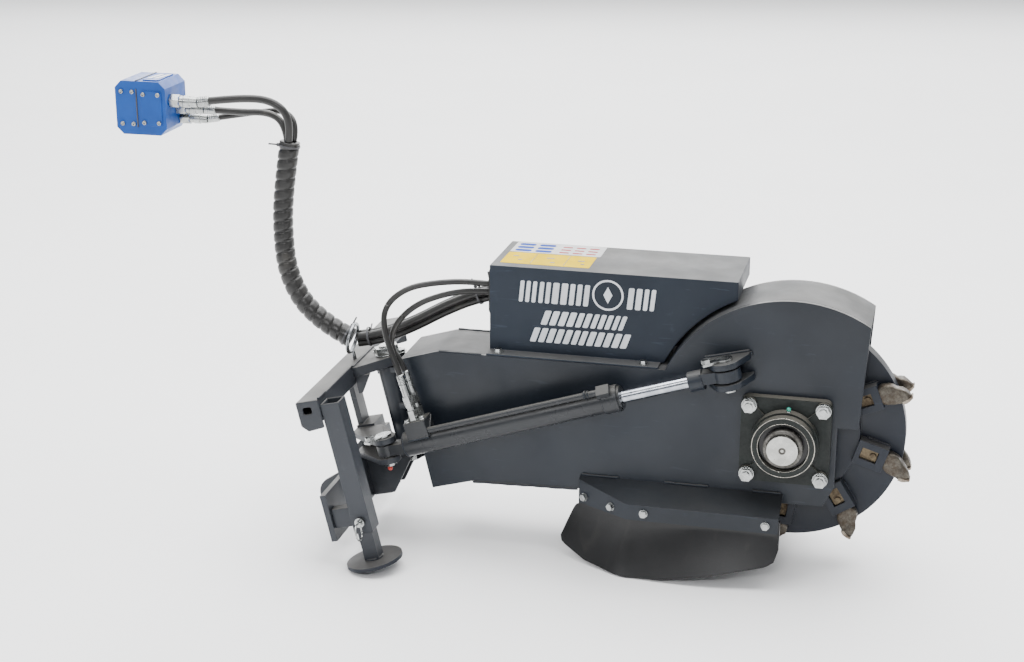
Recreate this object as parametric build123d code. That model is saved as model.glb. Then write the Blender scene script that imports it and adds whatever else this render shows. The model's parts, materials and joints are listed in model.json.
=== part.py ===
"""Hydraulic stump grinder attachment for a compact loader.

Frame: millimetres, +Z up, +X towards the cutter wheel, origin at the middle of the
two locking bores of the loader hitch. The swing arm is level. The hitch and the
swing axis lean back by TILT.

Three working frames are used. HITCH has its origin on the swing axis and leans
with the hitch. ARM is level, with its origin at the middle of the cutter shaft.
CYLINDER lies along the swing cylinder, from the centre of its base pin.
"""
from build123d import *
import math
import os

os.makedirs("parts", exist_ok=True)

# --- driving dimensions -------------------------------------------------------
TILT = 13.5                      # lean of the swing axis, degrees
LOCK_BORE_R = 15.25              # locking bores, for 30 mm pins
LOCK_BORE_XZ = (-145.0, -200.0)  # bore centre in the hitch frame
PIVOT_TO_AXLE = (826.0, -35.0)   # from the swing axis to the cutter shaft, x and z

ARM_HALF = 75.0                  # half width of the arm over its side plates
SIDE_PLATE = 10.0
SKIN_PLATE = 8.0
GUARD_CENTRE = (5.0, 8.0)
GUARD_R = 271.0
GUARD_START = (-241.8, 120.0)
GUARD_END = (150.0, 237.0)

PIVOT_R = 15.0
PIVOT_TUBE_R = 28.0
TUBE_TOP = 23.0
TUBE_BOTTOM = -149.0
RUN = 0.05                       # running clearance of pins and shafts

WHEEL_R = 227.0
WHEEL_HALF = 17.0
HUB_R = 140.0
HUB_HALF = 34.0
SHAFT_R = 30.0
TEETH_PER_SIDE = 9
FIRST_TOOTH = 28.0

FLANGE = 175.0                   # square bearing flange
FLANGE_T = 24.0
BOSS_H = 55.0                    # height of the near bearing's boss
SHAFT_Y = (-146.0, 136.0)
BOLT_PITCH = 143.0

COVER_BACK = -605.0
COVER_FRONT = -108.0
COVER_NEAR = -45.0
COVER_FAR = 141.0
COVER_TOP = 300.0
COVER_T = 3.0
COVER_GAP = 8.0                  # between the cover and the guard's curve
ARM_TOP = 120.0
STRIP_TOP = 124.0

MOTOR_XZ = (-330.0, 205.0)
DRIVE_R = 45.0
DRIVEN_R = 62.0
BELT_Y = 120.0
BELT_W = 11.0
BELT_T = 8.0
RIM_HALF = 13.0                  # half width of a pulley between its flanges

BASE_PIN = (-8.0, -115.0, -122.6)   # cylinder base pin, hitch frame
ROD_PIN = (716.0, -115.0, -67.0)    # cylinder rod pin, hitch frame
CYL_PIN_R = 12.5
BARREL_R = 25.0
BORE_R = 20.0
BARREL_START = 46.0
BARREL_END = 506.0
ROD_R = 12.5
EYE_T = 22.0
CLEVIS_GAP = 30.0
CLEVIS_T = 12.0

BEAM_HALF = 270.0
BEAM_X = (-104.5, -57.5)
BEAM_Z = (10.0, 50.0)
BEAM_WALL = 5.0
POST_WALL = 6.0
CROSS_X = (-109.5, -97.5)
CROSS_Z = (-250.0, -150.0)
POST_X = (-97.5, -57.5)
POST_HALF = 30.0
NECK_T = 12.0
NECK_HALF = 20.0
LEG_X = -37.5
LEG_Y = -250.0
LEG_TUBE = 40.0
LEG_WALL = 4.0
LEG_INNER = 30.0

# --- frames -------------------------------------------------------------------
HITCH = Rot(0, -TILT, 0) * Pos(-LOCK_BORE_XZ[0], 0, -LOCK_BORE_XZ[1])
PIVOT = HITCH.position
ARM = Pos(PIVOT.X + PIVOT_TO_AXLE[0], 0, PIVOT.Z + PIVOT_TO_AXLE[1])
CYL_RUN = ROD_PIN[0] - BASE_PIN[0]
CYL_RISE = ROD_PIN[2] - BASE_PIN[2]
CYL_LENGTH = math.hypot(CYL_RUN, CYL_RISE)
CYL_SLOPE = math.degrees(math.atan2(CYL_RISE, CYL_RUN))
BASE_EYE = HITCH * Pos(*BASE_PIN)
ROD_EYE = HITCH * Pos(*ROD_PIN)
CYLINDER = BASE_EYE * Rot(0, -CYL_SLOPE, 0)

parts = {}


# --- helpers ------------------------------------------------------------------
def keep(name, *shapes):
    """Stores one node, made of one or more separate solids."""
    solids = [solid for shape in shapes for solid in shape.solids()]
    parts[name] = solids[0] if len(solids) == 1 else Compound(solids)


def upright(face, y0, y1):
    """Turns a face drawn in x and z into a plate from y0 to y1."""
    return Pos(0, y1, 0) * Rot(90, 0, 0) * extrude(face, y1 - y0)


def flat(face, z0, z1):
    """Turns a face drawn in x and y into a level plate from z0 to z1."""
    return Pos(0, 0, z0) * extrude(face, z1 - z0)


def block(x, y, z):
    """Box between pairs of limits."""
    size = Box(x[1] - x[0], y[1] - y[0], z[1] - z[0])
    return Pos((x[0] + x[1]) / 2, (y[0] + y[1]) / 2, (z[0] + z[1]) / 2) * size


def polygon(*points):
    return make_face(Polyline(*points, close=True))


def block_face(x, z):
    """Rectangle between pairs of limits."""
    return polygon((x[0], z[0]), (x[1], z[0]), (x[1], z[1]), (x[0], z[1]))


def post(radius, z0, z1):
    """Round bar along Z."""
    return Pos(0, 0, (z0 + z1) / 2) * Cylinder(radius, z1 - z0)


def axle(radius, y0, y1):
    """Round bar along Y."""
    return Pos(0, (y0 + y1) / 2, 0) * Rot(90, 0, 0) * Cylinder(radius, y1 - y0)


def rod_x(radius, x0, x1):
    """Round bar along X."""
    return Pos((x0 + x1) / 2, 0, 0) * Rot(0, 90, 0) * Cylinder(radius, x1 - x0)


def hexagon(across, z0, z1):
    """Hexagonal bar along Z, as a bolt head or nut."""
    return flat(RegularPolygon(across / math.sqrt(3), 6), z0, z1)


def ribbon(points, thickness):
    """Strip that follows points in x and z, with its thickness on the left of their direction."""
    normals = []
    for (x0, z0), (x1, z1) in zip(points, points[1:]):
        run = math.hypot(x1 - x0, z1 - z0)
        normals.append(((z0 - z1) / run, (x1 - x0) / run))
    inner = []
    for i, (x, z) in enumerate(points):
        before = normals[max(i - 1, 0)]
        after = normals[min(i, len(normals) - 1)]
        spread = 1 + before[0] * after[0] + before[1] * after[1]
        nx = (before[0] + after[0]) / spread
        nz = (before[1] + after[1]) / spread
        inner.append((x + nx * thickness, z + nz * thickness))
    return polygon(*points, *reversed(inner))


def hull(*faces):
    """Convex outline round several faces."""
    return make_hull([edge for face in faces for edge in face.edges()])


def hose(points, radius, label):
    """Round tube along straight runs joined by arcs, as large as the runs allow."""
    route = [Vector(*point) for point in points]
    radii = []
    for before, here, after in zip(route, route[1:], route[2:]):
        turn = math.radians((here - before).get_angle(after - here))
        shorter = min((here - before).length, (after - here).length)
        radii.append(0.45 * shorter / math.tan(turn / 2))
    path = FilletPolyline(*route, radius=radii)
    start = Plane(origin=route[0], z_dir=route[1] - route[0])
    tube = sweep(start * Circle(radius), path=path)
    share = tube.volume / (math.pi * radius**2 * path.length)
    print(label, "length", round(path.length), "volume", round(share, 3))
    return tube


def arm_point(x, y, z):
    """Point of the arm frame, in the part's own frame."""
    return tuple((ARM * Pos(x, y, z)).position)


# --- hitch --------------------------------------------------------------------
def make_hitch_frame():
    room_x = (BEAM_X[0] + BEAM_WALL, BEAM_X[1] - BEAM_WALL)
    room_z = (BEAM_Z[0] + BEAM_WALL, BEAM_Z[1] - BEAM_WALL)
    beam = block(BEAM_X, (-BEAM_HALF, BEAM_HALF), BEAM_Z)
    beam = beam - block(room_x, (-BEAM_HALF - 1, BEAM_HALF + 1), room_z)
    cap = polygon((BEAM_X[0], 50), (BEAM_X[1], 50), (BEAM_X[1], -8), (-92, -12), (BEAM_X[0], 0))
    cap = cap - Pos(-84, 30) * RectangleRounded(18, 14, 4)
    for y in (-BEAM_HALF - BEAM_WALL, BEAM_HALF):
        beam = beam + upright(cap, y, y + BEAM_WALL)
    keep("hitch_top_beam", HITCH * beam)
    mast_top = BASE_PIN[2] + CLEVIS_GAP / 2 + CLEVIS_T + 4
    mast = block(POST_X, (-POST_HALF, POST_HALF), (CROSS_Z[0], mast_top))
    core_x = (POST_X[0] + POST_WALL, POST_X[1] - POST_WALL)
    core_y = (-POST_HALF + POST_WALL, POST_HALF - POST_WALL)
    mast = mast - block(core_x, core_y, (CROSS_Z[0] - 1, mast_top - POST_WALL))
    neck = block((POST_X[0], POST_X[0] + NECK_T), (-NECK_HALF, NECK_HALF), (mast_top - 1, BEAM_Z[0]))
    keep("hitch_post", HITCH * (mast + neck))
    keep("hitch_cross_plate", HITCH * block(CROSS_X, (-270, 150), CROSS_Z))


def make_locking_cheeks():
    x, z = LOCK_BORE_XZ
    back = CROSS_X[0]
    root = polygon((back, z - 45), (back, z + 45), (back - 5.5, z + 45), (back - 5.5, z - 45))
    outline = hull(root, Pos(x, z) * Circle(32)) - Pos(x, z) * Circle(LOCK_BORE_R)
    cheeks = [upright(outline, y, y + 10) for y in (-120, 110)]
    keep("locking_cheeks", HITCH * cheeks[0], HITCH * cheeks[1])


def make_pivot_brackets():
    root = polygon((-57.5, -70), (-57.5, 70), (-45, 70), (-45, -70))
    ear = hull(root, Circle(36)) - Circle(PIVOT_R + RUN)
    upper = flat(ear, 26, 46)
    for y in (-66, 58):
        upper = upper + upright(polygon((-57.5, 26), (-57.5, -12), (-50, -12), (-24, 26)), y, y + 8)
    keep("upper_pivot_bracket", HITCH * upper)
    lower_root = polygon((-57.5, -38), (-57.5, 38), (-45, 38), (-45, -38))
    lower = flat(hull(lower_root, Circle(36)) - Circle(PIVOT_R + RUN), -172, -152)
    gusset = polygon((-57.5, -172), (-57.5, -246), (-48, -246), (4, -180), (4, -172))
    for y in (-38, 30):
        lower = lower + upright(gusset, y, y + 8)
    keep("lower_pivot_bracket", HITCH * lower)


def make_pivot_pin():
    keep("pivot_pin", HITCH * post(PIVOT_R, -190, 66))
    ring = Circle(26) - Circle(PIVOT_R + RUN)
    nut_bore = post(PIVOT_R + RUN, -200, 70)
    fasteners = [flat(ring, 23.3, 25.7), flat(ring, -151.7, -149.3)]
    fasteners += [flat(ring, 46, 49), hexagon(46, 49, 63) - nut_bore]
    fasteners += [flat(ring, -175, -172), hexagon(46, -187, -175) - nut_bore]
    keep("pivot_fasteners", *[HITCH * piece for piece in fasteners])


def clevis_flag(bar_top):
    """Head of a clevis pin, with its flat retainer and bolt, on a plate at bar_top."""
    head = post(16, bar_top, bar_top + 5)
    flag = block((-46, 0), (-9, 9), (bar_top, bar_top + 5))
    bolt = Pos(-36, 0, 0) * hexagon(17, bar_top + 5, bar_top + 13)
    return head + flag + bolt


def make_base_clevis():
    x, y, z = BASE_PIN
    root = polygon(
        (POST_X[0], -POST_HALF), (POST_X[1] + 18, -POST_HALF), (POST_X[1] + 10, -45), (POST_X[0], -60)
    )
    bore = Pos(x, y) * Circle(CYL_PIN_R + RUN)
    ear = hull(root, Pos(x, y) * Circle(24)) - bore
    gap = CLEVIS_GAP / 2
    top = flat(ear, z + gap, z + gap + CLEVIS_T)
    bottom = flat(ear, z - gap - CLEVIS_T, z - gap)
    keep("cylinder_base_clevis", HITCH * top, HITCH * bottom)
    head_z = gap + CLEVIS_T
    pin = post(CYL_PIN_R, -head_z - 8, head_z) + Rot(0, 0, 60) * clevis_flag(head_z)
    keep("base_pin", BASE_EYE * pin)


def make_leg():
    half = LEG_TUBE / 2
    outer = block((LEG_X - half, LEG_X + half), (LEG_Y - half, LEG_Y + half), (-240, 38))
    room = half - LEG_WALL
    inside = block((LEG_X - room, LEG_X + room), (LEG_Y - room, LEG_Y + room), (-241, 39))
    brace = block((POST_X[0], LEG_X - half), (LEG_Y - 12, LEG_Y + 12), (-225, -185))
    pin_hole = Pos(LEG_X, LEG_Y - half, -214) * Rot(90, 0, 0) * Cylinder(6.05, 20)
    keep("leg_outer_tube", HITCH * (outer - inside - pin_hole + brace))
    thick = LEG_INNER / 2
    inner = block((LEG_X - thick, LEG_X + thick), (LEG_Y - thick, LEG_Y + thick), (-301, -20))
    core = thick - 3
    inner = inner - block((LEG_X - core, LEG_X + core), (LEG_Y - core, LEG_Y + core), (-302, -19))
    keep("leg_inner_tube", HITCH * inner)
    keep("leg_foot_plate", HITCH * Pos(LEG_X, LEG_Y, 0) * post(57, -308, -301))


def make_lock_pin():
    """Spring pin whose tip stops just short of the inner tube, with its pull ring."""
    tip = LEG_Y - LEG_INNER / 2 - 0.5
    outside = LEG_Y - LEG_TUBE / 2
    shank = Pos(LEG_X, 0, -214) * axle(6, outside - 16, tip)
    collar = Pos(LEG_X, 0, -214) * axle(10, outside - 8, outside - 0.3)
    ring = Pos(LEG_X, outside - 22, -228) * Rot(0, 90, 0) * Torus(16, 2)
    keep("leg_lock_pin", HITCH * (shank + collar + ring))


def make_hose_guide():
    wire = 4.0
    loop = ARM * Pos(-906, -20, 114) * Rot(0, 100, 0) * Torus(30, wire)
    stem = HITCH * Pos(-66, -20, 0) * post(wire, BEAM_Z[1], 68)
    keep("hose_guide_ring", loop + stem)


# --- swing arm ----------------------------------------------------------------
REAR_TOP = (-787.1, 95.8)
KNEE_TOP = (-707.0, 119.5)
KNEE_LOW = (-637.0, -157.0)
REAR_LOW = (-720.8, -180.4)
BELLY = (-412.0, -150.0)
GUARD_FOOT = (-290.0, -146.7)


def side_outline():
    edge = Polyline(
        GUARD_END, (138, 30), (98, 29), (98, -95), (78, -137), BELLY,
        KNEE_LOW, REAR_LOW, REAR_TOP, KNEE_TOP, GUARD_START,
    )
    arc = ThreePointArc(GUARD_START, (GUARD_CENTRE[0], GUARD_CENTRE[1] + GUARD_R), GUARD_END)
    return make_face([edge, arc]) - Circle(44)


def make_side_plates():
    outline = side_outline()
    inner = ARM_HALF - SIDE_PLATE
    keep("arm_side_plate_near", ARM * upright(outline, -ARM_HALF, -inner))
    keep("arm_side_plate_far", ARM * upright(outline, inner, ARM_HALF))


def guard_face():
    cx, cz = GUARD_CENTRE
    inner_r = GUARD_R - SKIN_PLATE
    scale = inner_r / GUARD_R
    start = (cx + (GUARD_START[0] - cx) * scale, cz + (GUARD_START[1] - cz) * scale)
    end = (cx + (GUARD_END[0] - cx) * scale, cz + (GUARD_END[1] - cz) * scale)
    outer_arc = ThreePointArc(GUARD_START, (cx, cz + GUARD_R), GUARD_END)
    inner_arc = ThreePointArc(end, (cx, cz + inner_r), start)
    sector = make_face([outer_arc, Line(GUARD_END, end), inner_arc, Line(start, GUARD_START)])
    wall = ribbon([GUARD_FOOT, (start[0] - 1.0, start[1] + 0.5)], SKIN_PLATE)
    return sector + wall


def make_arm_skins():
    inner = ARM_HALF - SIDE_PLATE
    guard = upright(guard_face(), -inner, inner)
    keep("wheel_guard", ARM * guard)
    top = upright(ribbon([GUARD_START, KNEE_TOP, REAR_TOP], SKIN_PLATE), -inner, inner)
    top = top - guard
    bottom = upright(ribbon([REAR_LOW, KNEE_LOW, BELLY, GUARD_FOOT], SKIN_PLATE), -inner, inner)
    bottom = bottom - guard
    keep("arm_top_plate", ARM * max(top.solids(), key=lambda s: s.volume))
    keep("arm_bottom_plate", ARM * max(bottom.solids(), key=lambda s: s.volume))


def make_arm_pivot():
    """Swing tube with its lugs and the plate that closes the arm's rear end."""
    bore = post(20, TUBE_BOTTOM - 1, TUBE_TOP + 1)
    lug = polygon((0, -24), (52, -50), (52, 50), (0, 24))
    tube = post(PIVOT_TUBE_R, TUBE_BOTTOM, TUBE_TOP)
    for z in (TUBE_BOTTOM, -69, TUBE_TOP - 12):
        tube = tube + flat(lug, z, z + 12)
    tube = tube - bore
    end_plate = block((52, 60), (-64.9, 64.9), (-224, 40))
    keep("arm_pivot_tube", HITCH * (tube + end_plate))
    bush = Circle(20) - Circle(PIVOT_R + RUN)
    keep("pivot_bushes", HITCH * flat(bush, TUBE_BOTTOM, -109), HITCH * flat(bush, -17, TUBE_TOP))


# --- motor cover and drive ----------------------------------------------------
def cover_face(inset):
    """Side outline of the motor cover, with its edge drawn in by inset."""
    cx, cz = GUARD_CENTRE
    r = GUARD_R + COVER_GAP + inset
    back = COVER_BACK + inset
    front = COVER_FRONT - inset
    top = COVER_TOP - inset
    low_x = cx - math.sqrt(r**2 - (STRIP_TOP - cz) ** 2)
    high_z = cz + math.sqrt(r**2 - (front - cx) ** 2)
    angle = math.radians(130)
    middle = (cx + r * math.cos(angle), cz + r * math.sin(angle))
    start = (low_x, STRIP_TOP)
    end = (front, high_z)
    edge = Polyline(start, (back, STRIP_TOP), (back, top), (front, top), end)
    return make_face([edge, ThreePointArc(end, middle, start)])


def make_motor_cover():
    outer = upright(cover_face(0), COVER_NEAR, COVER_FAR)
    inner = upright(cover_face(COVER_T), COVER_NEAR + COVER_T, COVER_FAR - COVER_T)
    room_y = (COVER_NEAR + COVER_T, COVER_FAR - COVER_T)
    floor = block((COVER_BACK + 8, -262), room_y, (STRIP_TOP - 1, STRIP_TOP + 6))
    belt_way = block((-400, COVER_FRONT - 20), (ARM_HALF + 3, room_y[1]), (STRIP_TOP - 1, 290))
    hose_way = block((COVER_BACK - 1, COVER_BACK + 5), (-40, 46), (200, 286))
    strip = block((COVER_BACK, -256), (-ARM_HALF, ARM_HALF), (ARM_TOP, STRIP_TOP))
    opening_y = (COVER_NEAR + 14, ARM_HALF + 1)
    strip = strip - block((COVER_BACK + 25, -275), opening_y, (ARM_TOP - 1, STRIP_TOP + 1))
    keep("motor_cover", ARM * (outer - inner - floor - belt_way - hose_way + strip))


def pulley(radius):
    """Flat-faced pulley for both belts, with a flange at each side."""
    left = BELT_Y - RIM_HALF
    right = BELT_Y + RIM_HALF
    flanges = axle(radius + 7, left - 2, left + 0.7) + axle(radius + 7, right - 0.7, right + 2)
    return axle(radius, left, right) + flanges


def make_motor():
    x, z = MOTOR_XZ
    at = Pos(x, 0, z)
    body = axle(45, -36, 62) + axle(34, -36, -10) + axle(52, 48, 62)
    body = body - axle(16.05, 10, 70)
    keep("hydraulic_motor", ARM * at * body)
    bracket = block((-400, -276), (62, 73), (ARM_TOP, 268))
    keep("motor_bracket", ARM * (bracket - at * axle(30, 60, 75)))
    keep("motor_pulley", ARM * at * (axle(16, 12, BELT_Y + RIM_HALF) + pulley(DRIVE_R)))


def make_valve_block():
    body = block((-572, -500), (-30, 52), (ARM_TOP, 264))
    ports = [Pos(-500, y, 200) * rod_x(13, 0, 22) for y in (-8, 32)]
    keep("valve_block", ARM * (body + ports[0] + ports[1]))


def belt_loop(extra):
    return hull(Pos(*MOTOR_XZ) * Circle(DRIVE_R + extra), Circle(DRIVEN_R + extra))


def make_belts():
    ring = belt_loop(BELT_T + 0.3) - belt_loop(0.3)
    belts = [upright(ring, y, y + BELT_W) for y in (BELT_Y - BELT_W - 0.5, BELT_Y + 0.5)]
    keep("drive_belts", ARM * belts[0], ARM * belts[1])


def case_face(inset):
    """Side outline of the belt case, below the motor cover."""
    cx, cz = GUARD_CENTRE
    r = GUARD_R + COVER_GAP - 0.3
    roof = STRIP_TOP - 0.3
    low_x = cx - math.sqrt(r**2 - (ARM_TOP - cz) ** 2)
    angle = math.radians(125)
    top_x = cx + r * math.cos(angle)
    top_z = cz + r * math.sin(angle) - inset
    back = -440 + inset
    wheel_end = Circle(96 - inset)
    rear = polygon((back, 100), (back, 118), (-420, 118))
    body = hull(wheel_end, Pos(-420, 40) * Circle(30 - inset), rear)
    upper = polygon((back, 60), (back, roof), (low_x, roof), (top_x, 60))
    crest = polygon((low_x, 60), (low_x, ARM_TOP), (top_x, top_z), (top_x + 6, top_z))
    below = block_face((-440, 60), (-100, roof))
    return (body + upper + hull(wheel_end, crest)) & (Pos(cx, cz) * Circle(r) + below)


def make_belt_case():
    outer = upright(case_face(0), ARM_HALF, COVER_FAR)
    inner = upright(case_face(4), ARM_HALF - 1, COVER_FAR - COVER_T)
    mouth = upright(belt_loop(16), ARM_HALF - 1, COVER_FAR - COVER_T)
    keep("belt_case", ARM * max((outer - inner - mouth).solids(), key=lambda s: s.volume))


# --- cutter wheel -------------------------------------------------------------
def flange_corners():
    half = BOLT_PITCH / 2
    return [(sx * half, sz * half) for sx in (-1, 1) for sz in (-1, 1)]


def make_bearings():
    square = RectangleRounded(FLANGE, FLANGE, 14)
    near = upright(square, -ARM_HALF - 18, -ARM_HALF)
    for x, z in flange_corners():
        near = near + Pos(x, 0, z) * axle(15.5, -ARM_HALF - FLANGE_T, -ARM_HALF)
    near = near + axle(66, -ARM_HALF - 38, -ARM_HALF) + axle(62, -ARM_HALF - BOSS_H, -ARM_HALF)
    for turn in (45, 135, 225, 315):
        rib = block((50, 88), (-ARM_HALF - 23, -ARM_HALF), (-7, 7))
        near = near + Rot(0, turn, 0) * rib
    near = near - axle(48, -ARM_HALF - BOSS_H - 1, -ARM_HALF + 1)
    far = axle(64, ARM_HALF, ARM_HALF + 24) - axle(48, ARM_HALF - 1, ARM_HALF + 40)
    keep("bearing_housings", ARM * near, ARM * far)
    heads = []
    for x, z in flange_corners():
        top = ARM_HALF + FLANGE_T
        bolt = post(15, top, top + 3) + hexagon(24, top + 3, top + 13)
        bolt = Rot(90, 0, 0) * (bolt + post(8, top + 13, top + 17))
        heads.append(ARM * Pos(x, 0, z) * bolt)
    keep("bearing_bolts", *heads)


def make_shaft():
    keep("cutter_shaft", ARM * axle(SHAFT_R, *SHAFT_Y))
    near = axle(38, -ARM_HALF - 63, -ARM_HALF + 4) + axle(47.7, -ARM_HALF - 46, -ARM_HALF - 1)
    far = axle(38, ARM_HALF - 4, ARM_HALF + 28) + axle(47.7, ARM_HALF + 1, ARM_HALF + 22)
    bore = axle(SHAFT_R, -200, 200)
    keep("bearing_inserts", ARM * (near - bore), ARM * (far - bore))
    keep("driven_pulley", ARM * (pulley(DRIVEN_R) - bore))


def stations():
    """Wheel angles of the tooth holders. A turn of -angle about +Y lifts +X towards +Z."""
    return [FIRST_TOOTH + i * 360 / TEETH_PER_SIDE for i in range(TEETH_PER_SIDE)]


HOLDER_R = (136.0, 196.0)
HOLDER_W = 50.0
HOLDER_T = 27.0
LEAN = 5.5                       # lean of the holders on the wheel, degrees


def holder_set():
    """One holder with its clamp and tooth, on the belt side of the wheel."""
    half = (HOLDER_R[1] - HOLDER_R[0]) / 2
    depth = WHEEL_HALF + HOLDER_T
    body = block((-half, half), (WHEEL_HALF, depth), (-HOLDER_W / 2, HOLDER_W / 2))
    window = block((-20, 14), (depth - 12, depth + 1), (-12, 12))
    socket = block((8, 60), (WHEEL_HALF + 4, depth - 3), (-14, 14))
    clamp = block((-19, 13), (depth - 12, depth - 6), (-11, 11))
    bolt = Pos(5, 0, 0) * axle(6, depth - 6, depth - 2)
    return [body - window - socket, clamp + bolt, tooth_solid(depth)]


def make_wheel():
    disc = axle(WHEEL_R, -WHEEL_HALF, WHEEL_HALF) + axle(HUB_R, -HUB_HALF, HUB_HALF)
    disc = disc + axle(46, -60, 60) - axle(SHAFT_R, -70, 70)
    belt_side = holder_set()
    ram_side = [mirror(piece, Plane.XZ) for piece in belt_side]
    holders, clamps, teeth = [], [], []
    for pieces in (belt_side, ram_side):
        for angle in stations():
            here = ARM * Rot(0, -angle, 0) * Pos(sum(HOLDER_R) / 2, 0, 0) * Rot(0, LEAN, 0)
            holders.append(here * pieces[0])
            clamps.append(here * pieces[1])
            teeth.append(here * pieces[2])
    hub_cut = axle(HUB_R, -HUB_HALF, HUB_HALF)
    holders = [holder - ARM * hub_cut for holder in holders]
    keep("cutter_disc", ARM * disc)
    keep("tooth_holders", *holders)
    keep("tooth_clamps", *clamps)
    keep("cutter_teeth", *teeth)


def tooth_solid(depth):
    """Tooth with a square shank in the holder's socket and a leaning chisel head."""
    shank = block((14.2, 34), (WHEEL_HALF + 4, depth - 3), (-13.8, 13.8))
    head = polygon((30, -18), (30, 18), (50, 17), (73, 4), (86, -20), (66, -24), (46, -24))
    return shank + upright(head, WHEEL_HALF + 2, depth - 1)


# --- swing cylinder -----------------------------------------------------------
def make_barrel():
    tube = rod_x(BARREL_R, BARREL_START, BARREL_END) + rod_x(BARREL_R + 2.5, BARREL_END - 30, BARREL_END)
    tube = tube - rod_x(BORE_R, BARREL_START + 14, BARREL_END + 1)
    half = EYE_T / 2
    lug = post(20, -half, half) + block((0, BARREL_START + 8), (-17, 17), (-half, half))
    lug = lug - post(CYL_PIN_R + RUN, -20, 20)
    lug = Rot(0, CYL_SLOPE, 0) * lug
    lug = lug - rod_x(BORE_R, BARREL_START + 14, BARREL_END)
    keep("cylinder_barrel", CYLINDER * (tube + lug))
    gland = rod_x(BORE_R, BARREL_END - 34, BARREL_END) + rod_x(23, BARREL_END, BARREL_END + 5)
    keep("cylinder_gland", CYLINDER * (gland - rod_x(ROD_R + RUN, 400, 600)))


PIPE_R = 6.5
PIPE_OUT = 32.0                  # from the barrel's axis to the pipe's
PIPE_TURN = 38.0                 # from the top of the barrel towards its near side
BLOCK_X = (62.0, 108.0)
BLOCK_TOP = 50.0
FITTING_TOP = 128.0
PORTS = ((84.0, -11.0), (88.0, 11.0))


def make_feed_pipe():
    barrel = rod_x(BARREL_R, 0, 600)
    clear = rod_x(BARREL_R + 2.5, BARREL_END - 30, BARREL_END)
    block_body = block(BLOCK_X, (-28, 20), (12, BLOCK_TOP)) - barrel
    keep("port_block", CYLINDER * block_body)
    on_side = CYLINDER * Rot(PIPE_TURN, 0, 0)
    pipe = Pos(0, 0, PIPE_OUT) * rod_x(PIPE_R, BLOCK_X[1], 470)
    end_block = block((470, 496), (-11, 11), (15, 38.5)) - barrel - clear
    keep("feed_pipe", on_side * pipe + on_side * end_block)
    fittings = []
    for x, y in PORTS:
        stack = post(8, BLOCK_TOP, FITTING_TOP) + hexagon(19, BLOCK_TOP, BLOCK_TOP + 22)
        stack = stack + hexagon(19, BLOCK_TOP + 30, BLOCK_TOP + 52)
        fittings.append(CYLINDER * Pos(x, y, 0) * stack)
    keep("port_fittings", *fittings)


def make_rod():
    rod = rod_x(ROD_R, 240, CYL_LENGTH - 50)
    piston = rod_x(BORE_R - RUN, 250, 285)
    collar = rod_x(20, CYL_LENGTH - 76, CYL_LENGTH - 48)
    keep("cylinder_rod", CYLINDER * (rod + piston))
    eye = post(27, -EYE_T / 2, EYE_T / 2) + block((-52, 0), (-17, 17), (-EYE_T / 2, EYE_T / 2))
    eye = ROD_EYE * eye
    collar = CYLINDER * collar
    keep("rod_eye", eye + collar - CYLINDER * rod)


def make_rod_clevis():
    gap = CLEVIS_GAP / 2
    edge = -ARM_HALF - ROD_PIN[1]
    root = polygon((-45, edge), (45, edge), (45, edge - 18), (-45, edge - 18))
    ear = hull(root, Circle(30)) - Circle(CYL_PIN_R)
    top = flat(ear, gap, gap + CLEVIS_T)
    bottom = flat(ear, -gap - CLEVIS_T, -gap)
    keep("rod_clevis_bracket", ROD_EYE * top, ROD_EYE * bottom)
    head_z = gap + CLEVIS_T
    upper = post(CYL_PIN_R, gap, head_z) + Rot(0, 0, 25) * clevis_flag(head_z)
    lower = post(CYL_PIN_R, -head_z - 8, -gap)
    keep("rod_clevis_pin", ROD_EYE * upper, ROD_EYE * lower)


# --- chip flaps ---------------------------------------------------------------
LIP_Y = -150.0
LIP_TOP = -141.0
LIP_H = 32.0
FLAP_T = 8.0
LIP_BEND = -300.0
LIP_BACK = (-408.0, -90.0)
WELD_Z = -118.0


def lip_angle():
    return math.degrees(math.atan2(LIP_BACK[1] - LIP_Y, LIP_BEND - LIP_BACK[0]))


def make_flap_bracket():
    slope = math.atan2(WELD_Z - LIP_TOP, -ARM_HALF - LIP_Y)
    reach = 1 / math.cos(slope)
    outer = LIP_Y + ARM_HALF
    back = LIP_BACK[1] + ARM_HALF
    front = outer * reach
    plan = polygon((LIP_BACK[0], 0), (0, 0), (0, front), (LIP_BEND, front), (LIP_BACK[0], back * reach))
    on_shelf = Pos(0, -ARM_HALF, WELD_Z) * Rot(math.degrees(slope), 0, 0)
    shelf = on_shelf * flat(plan, -4, 0)
    lip = block((LIP_BEND, 0), (LIP_Y, LIP_Y + 4), (LIP_TOP - LIP_H, LIP_TOP + 1))
    run = math.hypot(LIP_BEND - LIP_BACK[0], LIP_BACK[1] - LIP_Y)
    side = block((-run, 0), (0, 4), (LIP_TOP - LIP_H, LIP_TOP + 14))
    side = Pos(LIP_BEND, LIP_Y, 0) * Rot(0, 0, -lip_angle()) * side
    above = on_shelf * block((-900, 300), (-300, 100), (0, 90))
    return shelf + (lip + side - above)


def flap_profile():
    """Rubber section across the flap: behind the lip, then flared outwards."""
    line = [
        (LIP_Y + 4.3, LIP_TOP - 8),
        (LIP_Y + 4.3, LIP_TOP - LIP_H - 4),
        (LIP_Y - 22, LIP_TOP - 80),
        (LIP_Y - 52, LIP_TOP - 152),
    ]
    return line + [(y + FLAP_T, z) for y, z in reversed(line)]


def flap_sheet(length):
    points = [(0, y, z) for y, z in flap_profile()]
    return extrude(make_face(Polyline(*points, close=True)), amount=length, dir=(-1, 0, 0))


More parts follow.
